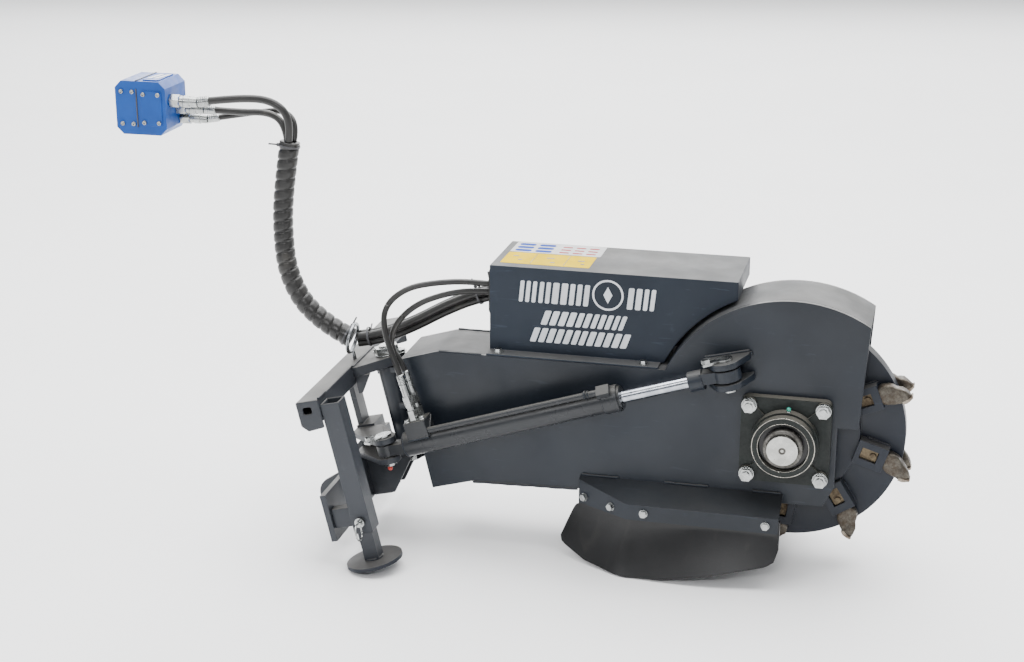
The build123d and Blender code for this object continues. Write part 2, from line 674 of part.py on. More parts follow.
def make_flap():
    main = Pos(-2, 0, 0) * flap_sheet(-LIP_BEND - 2)
    run = math.hypot(LIP_BEND - LIP_BACK[0], LIP_BACK[1] - LIP_Y)
    at_bend = Pos(LIP_BEND, LIP_Y, 0)
    wing = at_bend * Rot(0, 0, -lip_angle()) * Pos(0, -LIP_Y, 0) * flap_sheet(run + 16)
    fold = at_bend * Rot(0, 0, -lip_angle() / 2) * Pos(17, -LIP_Y, 0) * flap_sheet(34)
    outline = polygon(
        (20, LIP_TOP), (6, -215), (-16, -236), (-120, -262), (-225, -283), (-270, -287),
        (-382, -278), (-441, -255), (-427, -190), (-421, LIP_TOP),
    )
    return (main + wing + fold) & upright(outline, -260, -ARM_HALF - 1)


def make_flaps():
    plate = upright(side_outline(), -ARM_HALF, 0)
    bracket = make_flap_bracket() - plate
    flap = make_flap() - bracket
    keep("flap_bracket_near", ARM * bracket)
    keep("flap_bracket_far", ARM * mirror(bracket, Plane.XZ))
    keep("flap_near", ARM * flap)
    keep("flap_far", ARM * mirror(flap, Plane.XZ))


LIP_BOLTS = (-25.0, -265.0)
SIDE_BOLTS = (-38.0, -108.0)


def make_panel_bolts():
    """Screws of the motor cover's strip and of both flap brackets."""
    bolts = []
    for x in (-583, -287):
        bolts.append(ARM * Pos(x, -62, STRIP_TOP) * (post(8.5, 0, 2) + hexagon(13, 2, 8)))
    lip_mid = LIP_TOP - LIP_H / 2
    head = Rot(90, 0, 0) * (post(8.5, 0, 2) + hexagon(13, 2, 8))
    for x in LIP_BOLTS:
        for side in (1, -1):
            bolt = Pos(x, LIP_Y, lip_mid) * head
            bolts.append(ARM * (bolt if side > 0 else mirror(bolt, Plane.XZ)))
    for run in SIDE_BOLTS:
        bolt = Pos(LIP_BEND, LIP_Y, 0) * Rot(0, 0, -lip_angle()) * Pos(run, 0, lip_mid) * head
        bolts.append(ARM * bolt)
        bolts.append(ARM * mirror(bolt, Plane.XZ))
    keep("panel_bolts", *bolts)


# --- hoses --------------------------------------------------------------------
HOSE_R = 8.5
THIN_R = 6.0
SLEEVE_R = 21.0
STRANDS = ((0.0, -10.5), (-9.3, 5.4), (9.3, 5.4))   # offsets in y and z

BUNDLE_ROUTE = (
    (-572, 10, 240), (-640, 11, 222), (-710, 8, 190),
    (-780, -2, 150), (-848, -15, 122), (-894, -19, 115),
)
SLEEVE_ROUTE = (
    (-908, -20, 114), (-985, -22, 150), (-1045, -16, 235),
    (-1056, -8, 345), (-1050, 0, 435), (-1036, 2, 517),
)
TAIL_ROUTES = (
    ((-1036, -7, 517), (-1027, -8, 566), (-1064, -12, 604), (-1138, -16, 606), (-1222, -22, 594)),
    ((-1044, 8, 517), (-1048, 9, 552), (-1082, 12, 574), (-1150, 12, 570), (-1222, 8, 574)),
    ((-1030, 8, 516), (-1026, 20, 548), (-1056, 34, 576), (-1128, 36, 566), (-1222, 24, 550)),
)
TAIL_R = (8.0, 7.0, 6.0)
COUPLER_X = (-1392.0, -1282.0)


def make_supply_hoses():
    tubes = []
    for number, (dy, dz) in enumerate(STRANDS):
        route = [arm_point(x, y + dy, z + dz) for x, y, z in BUNDLE_ROUTE]
        tubes.append(hose(route, HOSE_R, f"supply hose {number}"))
    keep("supply_hoses", *tubes)


def make_cylinder_hoses():
    tubes = []
    starts = ((-572, -22, 252), (-572, -20, 236))
    middles = (
        ((-640, -40, 262), (-706, -62, 262), (-768, -84, 252), (-808, -106, 216), (-804, -120, 165)),
        ((-636, -38, 244), (-694, -60, 238), (-750, -84, 218), (-790, -100, 176), (-796, -106, 130)),
    )
    for start, middle, (x, y) in zip(starts, middles, PORTS):
        end = (CYLINDER * Pos(x, y, FITTING_TOP)).position
        above = (CYLINDER * Pos(x, y, FITTING_TOP + 42)).position
        route = [arm_point(*start)] + [arm_point(*p) for p in middle] + [tuple(above), tuple(end)]
        tubes.append(hose(route, THIN_R, "cylinder hose"))
    keep("cylinder_hoses", *tubes)


def make_sleeve_and_tails():
    keep("hose_sleeve", hose([arm_point(*p) for p in SLEEVE_ROUTE], SLEEVE_R, "sleeve"))
    fittings = []
    for number, (route, radius) in enumerate(zip(TAIL_ROUTES, TAIL_R), 1):
        tail = hose([arm_point(*p) for p in route], radius, f"tail hose {number}")
        keep(f"tail_hose_{number}", tail)
        x, y, z = route[-1]
        face = COUPLER_X[1]
        nose = rod_x(radius + 2.5, face, x) + rod_x(radius + 5, face, face + 22)
        fittings.append(Pos(0, y, z) * nose)
    body = block(COUPLER_X, (-48, 52), (526, 636))
    body = chamfer(body.edges().filter_by(Axis.Y), 14)
    keep("coupler_block", ARM * (body + fittings[0] + fittings[1] + fittings[2]))


# --- assembly -----------------------------------------------------------------
make_hitch_frame()
make_locking_cheeks()
make_pivot_brackets()
make_pivot_pin()
make_base_clevis()
make_leg()
make_lock_pin()
make_hose_guide()
make_side_plates()
make_arm_skins()
make_arm_pivot()
make_motor_cover()
make_motor()
make_valve_block()
make_belts()
make_belt_case()
make_bearings()
make_shaft()
make_wheel()
make_barrel()
make_feed_pipe()
make_rod()
make_rod_clevis()
make_flaps()
make_panel_bolts()
make_supply_hoses()
make_cylinder_hoses()
make_sleeve_and_tails()

for name, shape in parts.items():
    export_step(shape, f"parts/{name}.step")
print(len(parts), "nodes")
print("swing axis", PIVOT, "cutter shaft", ARM.position)
print("base pin", BASE_EYE.position, "rod pin", ROD_EYE.position, "slope", CYL_SLOPE)
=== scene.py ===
"""Looks for the stump grinder attachment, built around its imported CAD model.

All sizes are metres. Points given in the arm's own frame, which is level and has its
origin at the middle of the cutter shaft, go through arm(). Points on the leaning
hitch, measured from the swing axis, go through hitch(). Points on the swing cylinder,
measured from its base pin along the stroke, go through cylinder().
"""

import json
import math

import bpy
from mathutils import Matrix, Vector, noise


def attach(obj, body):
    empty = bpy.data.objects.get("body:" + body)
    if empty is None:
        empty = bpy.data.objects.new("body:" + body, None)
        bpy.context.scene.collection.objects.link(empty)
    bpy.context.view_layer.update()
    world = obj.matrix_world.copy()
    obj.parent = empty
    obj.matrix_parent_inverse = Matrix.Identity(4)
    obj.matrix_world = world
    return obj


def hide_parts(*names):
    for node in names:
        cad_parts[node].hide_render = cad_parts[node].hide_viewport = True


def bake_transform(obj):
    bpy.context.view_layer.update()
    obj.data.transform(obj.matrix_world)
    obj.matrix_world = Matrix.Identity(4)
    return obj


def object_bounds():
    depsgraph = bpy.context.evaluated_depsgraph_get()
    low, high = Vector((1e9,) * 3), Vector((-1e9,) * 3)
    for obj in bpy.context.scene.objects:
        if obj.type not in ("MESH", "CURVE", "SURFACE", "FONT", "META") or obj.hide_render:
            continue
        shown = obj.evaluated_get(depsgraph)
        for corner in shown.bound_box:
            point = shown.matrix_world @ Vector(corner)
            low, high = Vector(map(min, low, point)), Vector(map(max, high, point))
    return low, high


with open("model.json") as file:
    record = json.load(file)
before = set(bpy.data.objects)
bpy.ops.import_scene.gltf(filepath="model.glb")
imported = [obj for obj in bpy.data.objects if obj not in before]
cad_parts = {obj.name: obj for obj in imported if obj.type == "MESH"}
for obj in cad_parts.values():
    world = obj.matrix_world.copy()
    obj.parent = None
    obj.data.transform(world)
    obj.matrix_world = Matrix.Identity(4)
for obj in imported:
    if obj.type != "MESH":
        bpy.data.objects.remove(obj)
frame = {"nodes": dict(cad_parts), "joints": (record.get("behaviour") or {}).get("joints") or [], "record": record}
cad_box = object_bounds()
nodes = frame["nodes"]
joints = {joint["name"]: joint for joint in frame["joints"]}

# --- frames of the arm, hitch and cylinder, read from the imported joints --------
AXLE = Vector(joints["cutter_spin"]["pos_m"])
PIVOT = Vector(joints["arm_swing"]["pos_m"])
LEAN = Vector(joints["arm_swing"]["axis"]).normalized()
FORWARD = Vector((LEAN.z, 0, -LEAN.x))
BASE_PIN = Vector(joints["barrel_pivot"]["pos_m"])
STROKE = Vector(joints["rod_slide"]["axis"]).normalized()
STROKE_UP = STROKE.cross(Vector((0, 1, 0))).normalized()


def arm(x, y, z):
    """Point of the arm frame, given in millimetres."""
    return AXLE + Vector((x, y, z)) / 1000


def hitch(x, y, z):
    """Point of the leaning hitch frame, given in millimetres."""
    return PIVOT + (FORWARD * x + Vector((0, y, 0)) + LEAN * z) / 1000


def cylinder(x, y, z):
    """Point of the swing cylinder's frame, given in millimetres."""
    return BASE_PIN + (STROKE * x + Vector((0, y, 0)) + STROKE_UP * z) / 1000


# --- camera -------------------------------------------------------------------
CAMERA_PLACE = (289, -3412, 1315)
CAMERA_AIM = (-570, 0, 150)
CAMERA_LENS = 64
CAMERA_REACH = 200


def make_camera():
    data = bpy.data.cameras.new("camera")
    camera = bpy.data.objects.new("camera", data)
    bpy.context.scene.collection.objects.link(camera)
    camera.location = arm(*CAMERA_PLACE)
    aim = arm(*CAMERA_AIM) - camera.location
    camera.rotation_euler = aim.to_track_quat("-Z", "Y").to_euler()
    data.lens = CAMERA_LENS
    data.clip_end = CAMERA_REACH
    bpy.context.scene.camera = camera


# --- mesh helpers --------------------------------------------------------------
MERGE_DISTANCE = 0.00002
FACE_WEIGHT = 60


def new_piece(name, vertices, faces, body, material, smooth=True):
    """Makes a mesh object from points in the row frame and lets it ride on a body."""
    mesh = bpy.data.meshes.new(name)
    mesh.from_pydata([tuple(v) for v in vertices], [], faces)
    mesh.validate()
    mesh.update()
    for polygon in mesh.polygons:
        polygon.use_smooth = smooth
    piece = bpy.data.objects.new(name, mesh)
    bpy.context.scene.collection.objects.link(piece)
    mesh.materials.append(material)
    if body:
        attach(piece, body)
    return piece


def soften(piece, width, segments=2, angle=35):
    """Rounds the edges of a piece and keeps its flat faces flat."""
    weld = piece.modifiers.new("weld", "WELD")
    weld.merge_threshold = MERGE_DISTANCE
    bevel = piece.modifiers.new("bevel", "BEVEL")
    bevel.width = width
    bevel.segments = segments
    bevel.limit_method = "ANGLE"
    bevel.angle_limit = math.radians(angle)
    bevel.use_clamp_overlap = True
    normals = piece.modifiers.new("normals", "WEIGHTED_NORMAL")
    normals.weight = FACE_WEIGHT
    normals.keep_sharp = False


def add_piece(name, mesh, body, look, bevel=None, smooth=True):
    """Makes a piece with its look. A bevel width softens its edges."""
    piece = new_piece(name, *mesh, body, LOOKS[look], smooth=smooth)
    if bevel:
        soften(piece, bevel)
    return piece


def join_meshes(parts):
    """Joins lists of (vertices, faces) into one pair."""
    vertices, faces = [], []
    for part_vertices, part_faces in parts:
        base = len(vertices)
        vertices += part_vertices
        faces += [tuple(base + i for i in face) for face in part_faces]
    return vertices, faces


def frames_along(path):
    """Unit side and up vectors at each point of a path, turned as little as possible."""
    tangents = []
    for i in range(len(path)):
        ahead = path[min(i + 1, len(path) - 1)]
        behind = path[max(i - 1, 0)]
        tangents.append((ahead - behind).normalized())
    side = tangents[0].orthogonal().normalized()
    result = []
    for tangent in tangents:
        side = (side - tangent * side.dot(tangent)).normalized()
        result.append((side.copy(), tangent.cross(side).normalized()))
    return result


def band_faces(rows, around):
    """Quads between rows of points that each go once round."""
    faces = []
    for i in range(rows - 1):
        for k in range(around):
            a = i * around + k
            b = i * around + (k + 1) % around
            faces.append((a, b, b + around, a + around))
    return faces


def end_faces(rows, around):
    """Flat caps on the first and the last row of a band."""
    last = (rows - 1) * around
    return [tuple(reversed(range(around))), tuple(range(last, last + around))]


def tube_mesh(path, radius, around=20):
    """Tube along a path. radius is a number or a function of distance and angle."""
    vertices = []
    distance = 0.0
    frames = frames_along(path)
    for i, point in enumerate(path):
        if i:
            distance += (point - path[i - 1]).length
        side, up = frames[i]
        for k in range(around):
            angle = 2 * math.pi * k / around
            r = radius(distance, angle) if callable(radius) else radius
            vertices.append(point + side * (r * math.cos(angle)) + up * (r * math.sin(angle)))
    return vertices, band_faces(len(path), around) + end_faces(len(path), around)


def lathe_mesh(profile, origin, axis, around=32):
    """Solid of revolution. profile is a list of (distance along axis, radius)."""
    axis = Vector(axis).normalized()
    side = axis.orthogonal().normalized()
    up = axis.cross(side)
    vertices = []
    for along, r in profile:
        middle = origin + axis * along
        for k in range(around):
            angle = 2 * math.pi * k / around
            vertices.append(middle + side * (r * math.cos(angle)) + up * (r * math.sin(angle)))
    return vertices, band_faces(len(profile), around) + end_faces(len(profile), around)


def prism_mesh(outline, origin, across, up, depth):
    """Plate with an outline in (across, up), made thick along depth."""
    across = Vector(across).normalized()
    up = Vector(up).normalized()
    depth = Vector(depth)
    front = [origin + across * u + up * v for u, v in outline]
    back = [point + depth for point in front]
    count = len(outline)
    faces = [tuple(reversed(range(count))), tuple(range(count, 2 * count))]
    for i in range(count):
        j = (i + 1) % count
        faces.append((i, j, j + count, i + count))
    return front + back, faces


def ring_mesh(loop, origin, axis, around=48):
    """Ring about an axis. loop is its closed section as (distance along axis, radius)."""
    vertices, faces = lathe_mesh(loop, origin, axis, around)
    faces = faces[:-2]
    last = (len(loop) - 1) * around
    for k in range(around):
        n = (k + 1) % around
        faces.append((last + k, last + n, n, k))
    return vertices, faces


def box_mesh(centre, size, axes):
    """Box about a centre, with its sides along three axes."""
    u, v, w = (Vector(axis).normalized() * (length / 2) for axis, length in zip(axes, size))
    corners = [(-1, -1), (1, -1), (1, 1), (-1, 1)]
    vertices = [centre + u * a + v * b - w for a, b in corners]
    vertices += [centre + u * a + v * b + w for a, b in corners]
    faces = [(3, 2, 1, 0), (4, 5, 6, 7), (0, 1, 5, 4), (1, 2, 6, 5), (2, 3, 7, 6), (3, 0, 4, 7)]
    return vertices, faces


def spline_path(points, resolution=14):
    """Points read from the smooth curve that a route's points control."""
    curve = bpy.data.curves.new("route", "CURVE")
    curve.dimensions = "3D"
    curve.resolution_u = resolution
    spline = curve.splines.new("NURBS")
    spline.points.add(len(points) - 1)
    for knot, point in zip(spline.points, points):
        knot.co = (*point, 1.0)
    spline.order_u = 3
    spline.use_endpoint_u = True
    carrier = bpy.data.objects.new("route", curve)
    bpy.context.scene.collection.objects.link(carrier)
    mesh = bpy.data.meshes.new_from_object(carrier)
    path = [v.co.copy() for v in mesh.vertices]
    bpy.data.objects.remove(carrier)
    bpy.data.meshes.remove(mesh)
    bpy.data.curves.remove(curve)
    return path


def resample(path, step):
    """The same path with points a fixed step apart."""
    result = [path[0].copy()]
    left = step
    for a, b in zip(path, path[1:]):
        run = (b - a).length
        at = left
        while at <= run:
            result.append(a.lerp(b, at / run))
            at += step
        left = at - run
    if (result[-1] - path[-1]).length > step * 0.3:
        result.append(path[-1].copy())
    return result


# --- material helpers ----------------------------------------------------------
NOISE_RANGE = (0.3, 0.7)
SKY_FACING = (0.35, 0.95)


def as_colour(value):
    """Lets a node's output through and makes a plain colour opaque."""
    return value if hasattr(value, "is_output") else (*value, 1.0)


class Shader:
    """A principled material with short calls for its nodes."""

    def __init__(self, name, roughness=0.5, metallic=0.0, shine=0.5):
        self.material = bpy.data.materials.new(name)
        self.material.use_nodes = True
        self.tree = self.material.node_tree
        self.bsdf = self.tree.nodes["Principled BSDF"]
        self.bsdf.inputs["Roughness"].default_value = roughness
        self.bsdf.inputs["Metallic"].default_value = metallic
        self.bsdf.inputs["Specular IOR Level"].default_value = shine
        self.coords = self.node("TexCoord").outputs["Object"]

    def node(self, kind, **values):
        """New node with some of its inputs set or linked."""
        node = self.tree.nodes.new("ShaderNode" + kind)
        for name, value in values.items():
            self.link(value, node.inputs[name])
        return node

    def link(self, value, socket):
        if hasattr(value, "is_output"):
            self.tree.links.new(value, socket)
        else:
            socket.default_value = value

    def noise(self, scale, detail=4.0, roughness=0.55, stretch=None, distortion=0.0):
        values = {"Scale": scale, "Detail": detail, "Roughness": roughness}
        place = self.mapped(stretch)
        return self.node("TexNoise", **values, Distortion=distortion, Vector=place).outputs["Fac"]

    def mapped(self, stretch):
        if stretch is None:
            return self.coords
        return self.node("Mapping", Scale=stretch, Vector=self.coords).outputs["Vector"]

    def span(self, value, low, high, to_low=0.0, to_high=1.0):
        node = self.node("MapRange", Value=value)
        node.interpolation_type = "SMOOTHSTEP"
        for socket, number in zip(node.inputs[1:5], (low, high, to_low, to_high)):
            socket.default_value = number
        return node.outputs["Result"]

    def spread(self, value, to_low=0.0, to_high=1.0):
        """Spreads the usual range of a noise between two values."""
        return self.span(value, *NOISE_RANGE, to_low, to_high)

    def math(self, operation, a, b=0.0):
        node = self.node("Math")
        node.operation = operation
        self.link(a, node.inputs[0])
        self.link(b, node.inputs[1])
        return node.outputs[0]

    def mix(self, factor, a, b):
        node = self.node("Mix")
        node.data_type = "RGBA"
        self.link(factor, node.inputs["Factor"])
        for value, socket in ((a, node.inputs["A"]), (b, node.inputs["B"])):
            self.link(as_colour(value), socket)
        return node.outputs["Result"]

    def facing_up(self):
        """1 on surfaces that face the sky, 0 on the others."""
        split = self.node("SeparateXYZ", Vector=self.node("NewGeometry").outputs["Normal"])
        return self.span(split.outputs["Z"], *SKY_FACING)

    def colour(self, value):
        self.link(as_colour(value), self.bsdf.inputs["Base Color"])

    def roughness(self, value):
        self.link(value, self.bsdf.inputs["Roughness"])

    def bump(self, height, distance, strength=1.0):
        node = self.node("Bump", Distance=distance, Strength=strength, Height=height)
        previous = self.bsdf.inputs["Normal"]
        if previous.is_linked:
            self.tree.links.new(previous.links[0].from_socket, node.inputs["Normal"])
        self.tree.links.new(node.outputs["Normal"], previous)


def tint(colour, factor):
    return tuple(min(1.0, c * factor) for c in colour)


# --- materials -----------------------------------------------------------------
PAINT = (0.0095, 0.0132, 0.0195)
WHEEL_PAINT = (0.0055, 0.0085, 0.0155)
# Pale warm film colour on upward faces: partly dust, partly painted light that makes the tops look sky-lit.
DUST_AND_TOP_LIGHT = (0.195, 0.182, 0.155)


def paint(name, base=PAINT, rough=0.36, dust=0.28, peel=0.35, shine=0.34):
    """Sprayed machine paint with orange peel, faint scuffs and a pale film on level surfaces, partly dust and
    partly painted top light; dust sets that film's strength.
    """
    s = Shader(name, shine=shine)
    broad = s.noise(2.6, 5.0)
    fine = s.noise(34.0, 6.0, 0.65)
    tone = s.mix(s.spread(broad), tint(base, 0.82), tint(base, 1.28))
    tone = s.mix(s.span(fine, 0.60, 0.78, 0.0, 0.35), tone, tint(base, 2.2))
    scuff = s.noise(14.0, 3.0, 0.5, stretch=(1.0, 6.0, 9.0), distortion=0.6)
    tone = s.mix(s.span(scuff, 0.66, 0.72, 0.0, 0.22), tone, tint(base, 3.4))
    # Pale film on upward faces, in patches: partly dust, partly painted light that brightens the tops as if lit
    # from above.
    patches = s.span(s.noise(9.0, 6.0, 0.7), 0.15, 0.75, 0.55, 1.0)
    dust_and_top_light = s.math("MULTIPLY", s.math("MULTIPLY", s.facing_up(), patches), dust)
    s.colour(s.mix(dust_and_top_light, tone, DUST_AND_TOP_LIGHT))
    uneven = s.spread(s.noise(11.0, 5.0, 0.6), rough - 0.05, rough + 0.10)
    s.roughness(s.math("ADD", uneven, s.math("MULTIPLY", dust_and_top_light, 0.18)))
    s.bump(s.noise(420.0, 2.0, 0.5), 0.00012, peel)
    s.bump(s.noise(7.0, 2.0, 0.5), 0.0009, 0.2)
    return s.material


def cast_paint(name, base=(0.0072, 0.0100, 0.0088)):
    """Painted sand casting, rough to the touch."""
    s = Shader(name, shine=0.3)
    grain = s.noise(170.0, 5.0, 0.7)
    tone = s.mix(s.spread(s.noise(16.0, 5.0)), tint(base, 0.75), tint(base, 1.5))
    tone = s.mix(s.span(grain, 0.62, 0.75, 0.0, 0.5), tone, tint(base, 2.6))
    # Upward faces mixed halfway to the pale film: partly dust, partly painted top light.
    s.colour(s.mix(s.math("MULTIPLY", s.facing_up(), 0.5), tone, DUST_AND_TOP_LIGHT))
    s.roughness(s.spread(grain, 0.42, 0.62))
    s.bump(grain, 0.0006, 0.6)
    return s.material


def zinc(name, base=(0.38, 0.39, 0.385)):
    """Bright zinc plate with cloudy passivation and small dull spots."""
    s = Shader(name, metallic=1.0)
    cloud = s.noise(60.0, 5.0, 0.6)
    tone = s.mix(s.spread(cloud), tint(base, 0.72), tint(base, 1.2))
    spots = s.span(s.noise(240.0, 3.0, 0.6), 0.62, 0.72, 0.0, 0.6)
    s.colour(s.mix(spots, tone, (0.30, 0.28, 0.24)))
    s.roughness(s.spread(cloud, 0.16, 0.34))
    s.bump(s.noise(500.0, 2.0), 0.00015, 0.4)
    return s.material


TURNING_MARKS = 2600.0


def turned_steel(name, axis_point, base=(0.42, 0.42, 0.40)):
    """Machined steel with fine turning marks about an axis along Y."""
    s = Shader(name, metallic=1.0)
    tone = s.mix(s.spread(s.noise(30.0, 5.0)), tint(base, 0.78), tint(base, 1.12))
    s.colour(tone)
    s.roughness(s.spread(s.noise(80.0, 4.0), 0.20, 0.36))
    move = s.node("Mapping", Location=(-axis_point.x, 0, -axis_point.z), Vector=s.coords)
    split = s.node("SeparateXYZ", Vector=move.outputs["Vector"])
    x, z = split.outputs["X"], split.outputs["Z"]
    squares = s.math("ADD", s.math("MULTIPLY", x, x), s.math("MULTIPLY", z, z))
    radius = s.math("SQRT", squares)
    marks = s.math("SINE", s.math("MULTIPLY", radius, TURNING_MARKS))
    s.bump(marks, 0.00006, 0.5)
    s.bump(s.noise(300.0, 3.0), 0.00012, 0.35)
    return s.material


def chrome(name):
    """Hard chrome with very faint lengthwise wiping marks."""
    s = Shader(name, metallic=1.0)
    s.colour(s.mix(s.spread(s.noise(40.0, 3.0)), (0.34, 0.36, 0.40), (0.50, 0.52, 0.56)))
    s.roughness(s.spread(s.noise(70.0, 4.0, 0.6, stretch=(0.2, 1.0, 1.0)), 0.17, 0.25))
    return s.material


def worn_steel(name, base, rust=(0.16, 0.085, 0.045), rust_share=0.5):
    """Bare forged steel with brown stain in its hollows and bright worn high spots."""
    s = Shader(name, metallic=0.75)
    patch = s.noise(45.0, 6.0, 0.65)
    fine = s.noise(210.0, 5.0, 0.7)
    tone = s.mix(s.span(fine, 0.35, 0.7), tint(base, 0.7), tint(base, 1.35))
    s.colour(s.mix(s.span(patch, 0.42, 0.62, 0.0, rust_share), tone, rust))
    s.roughness(s.span(patch, 0.35, 0.65, 0.34, 0.62))
    s.bump(fine, 0.0005, 0.5)
    return s.material


def rubber(name, base=(0.006, 0.006, 0.0065), rough=0.42, dust=0.14, shine=0.42):
    """Black rubber with pale scuffs and a film of dust."""
    s = Shader(name, shine=shine)
    broad = s.noise(5.0, 5.0, 0.6)
    streak = s.noise(20.0, 4.0, 0.6, stretch=(1.0, 1.0, 0.25), distortion=0.8)
    tone = s.mix(s.span(broad, 0.3, 0.75), tint(base, 0.9), tint(base, 1.6))
    tone = s.mix(s.span(streak, 0.55, 0.75, 0.0, dust), tone, (0.11, 0.10, 0.085))
    s.colour(tone)
    s.roughness(s.span(broad, 0.25, 0.75, rough - 0.05, rough + 0.07))
    s.bump(s.noise(260.0, 4.0, 0.6), 0.0003, 0.5)
    s.bump(s.noise(9.0, 2.0, 0.5), 0.0015, 0.2)
    return s.material


def plastic(name, base, rough=0.35, shine=0.5):
    """Moulded plastic or printed film with fine grain and slight unevenness."""
    s = Shader(name, shine=shine)
    tone = s.mix(s.spread(s.noise(24.0, 4.0)), tint(base, 0.9), tint(base, 1.08))
    grime = s.span(s.noise(60.0, 5.0, 0.7), 0.60, 0.78, 0.0, 0.18)
    s.colour(s.mix(grime, tone, tint(base, 0.45)))
    s.roughness(s.spread(s.noise(50.0, 4.0), rough - 0.06, rough + 0.12))
    s.bump(s.noise(380.0, 2.0), 0.00012, 0.35)
    return s.material


make_camera()
LOOKS = {
    "paint": paint("machine_paint"),
    # Lighter copy with a heavier pale top film for the cover, guard and top plate: partly dust, partly painted top
    # light.
    "dust_and_top_light_paint": paint("dust_and_top_light_paint", tint(PAINT, 1.6), rough=0.44, dust=0.33, shine=0.2),
    # Darker copy with little top film: painted shade for the flap brackets, which sit in the arm's shadow.
    "shaded_bracket_paint": paint("shaded_bracket_paint", tint(PAINT, 0.9), dust=0.10),
    "hitch_paint": paint("hitch_paint", (0.0255, 0.0285, 0.0345), rough=0.42, dust=0.38),
    "ring_steel": zinc("ring_steel", (0.40, 0.38, 0.34)),
    "wire": zinc("dull_wire", (0.26, 0.27, 0.28)),
    "gloss_paint": paint("barrel_paint", (0.021, 0.0225, 0.025), rough=0.27, dust=0.3, peel=0.1),
    "wheel_paint": paint("wheel_paint", WHEEL_PAINT, rough=0.40, dust=0.3),
    "cast": cast_paint("bearing_cast"),
    "zinc": zinc("zinc_plate"),
    "steel": turned_steel("turned_steel", AXLE),
    "chrome": chrome("hard_chrome"),
    "tooth_steel": worn_steel("tooth_steel", (0.085, 0.076, 0.062), rust=(0.045, 0.026, 0.014)),
    "carbide": worn_steel(
        "carbide_tip", (0.30, 0.26, 0.21), rust=(0.09, 0.055, 0.035), rust_share=0.7,
    ),
    "clamp_steel": worn_steel("clamp_steel", (0.11, 0.085, 0.052), rust=(0.045, 0.028, 0.018)),
    "seal": rubber("bearing_seal", (0.006, 0.006, 0.006), rough=0.3, dust=0.05),
    "dark_steel": worn_steel("dark_steel", (0.13, 0.125, 0.115), rust=(0.04, 0.035, 0.03)),
    "rubber": rubber("flap_rubber", rough=0.36, dust=0.07, shine=0.4),
    "hose": rubber("hose_rubber", (0.0125, 0.012, 0.0115), rough=0.34, dust=0.25),
    "blue": plastic("blue_coupler", (0.003, 0.062, 0.30), shine=0.35),
    "bronze": worn_steel("bronze", (0.50, 0.33, 0.16), rust_share=0.1),
    "white": plastic("white_print", (0.62, 0.64, 0.67)),
    "label": plastic("label_film", (0.52, 0.52, 0.52), rough=0.6, shine=0.02),
    "yellow": plastic("yellow_print", (0.64, 0.44, 0.0), rough=0.6, shine=0.02),
    "blue_print": plastic("blue_print", (0.03, 0.07, 0.32), rough=0.6, shine=0.02),
    "red_print": plastic("red_print", (0.36, 0.03, 0.03), rough=0.6, shine=0.02),
    "dark_print": plastic("dark_print", (0.05, 0.05, 0.055)),
    "green": plastic("green_cap", (0.03, 0.30, 0.22)),
    "red_cap": plastic("red_cap", (0.55, 0.05, 0.03)),
}
SLOT_LOOKS = {entry["node"]: entry["material_slot"] for entry in frame["record"]["subparts"]}
ROUND_NODES = (
    "cylinder_barrel", "cylinder_gland", "cylinder_rod", "feed_pipe", "port_fittings",
    "base_pin", "rod_clevis_pin", "pivot_pin", "pivot_bushes", "cutter_shaft",
    "bearing_inserts", "hose_guide_ring", "hydraulic_motor",
)
BEVEL = 0.0011
BEVELS = {
    "leg_lock_pin": 0.0006, "motor_cover": 0.0014, "tooth_holders": 0.0022,
    "hitch_top_beam": 0.0022, "leg_outer_tube": 0.0022, "leg_inner_tube": 0.002,
    "coupler_block": 0.003,
}
NODES_WITH = {
    "seal": ("bearing_inserts",),
    "wire": ("hose_guide_ring",),
    "wheel_paint": ("leg_foot_plate",),
    # Parts whose tops get the heavier dust and painted top light.
    "dust_and_top_light_paint": ("motor_cover", "wheel_guard", "arm_top_plate"),
    "gloss_paint": ("cylinder_barrel", "feed_pipe", "port_block", "cylinder_gland"),
    # Flap brackets get the darker copy as painted shade from the arm above them.
    "shaded_bracket_paint": ("flap_bracket_near", "flap_bracket_far"),
    "hitch_paint": (
        "hitch_top_beam", "hitch_post", "hitch_cross_plate", "locking_cheeks", "leg_outer_tube",
        "leg_inner_tube", "cylinder_base_clevis", "upper_pivot_bracket", "lower_pivot_bracket",
    ),
}
LOOK_OF = {name: look for look, names in NODES_WITH.items() for name in names}


def dress_cad_nodes():
    """Gives every CAD node its material, smooth shading and softened edges."""
    for name, node in nodes.items():
        node.data.materials.clear()
        node.data.materials.append(LOOKS[LOOK_OF.get(name, SLOT_LOOKS[name])])
        for polygon in node.data.polygons:
            polygon.use_smooth = True
        if name in ROUND_NODES:
            continue
        if "custom_normal" in node.data.attributes:
            node.data.attributes.remove(node.data.attributes["custom_normal"])
        soften(node, BEVELS.get(name, BEVEL))


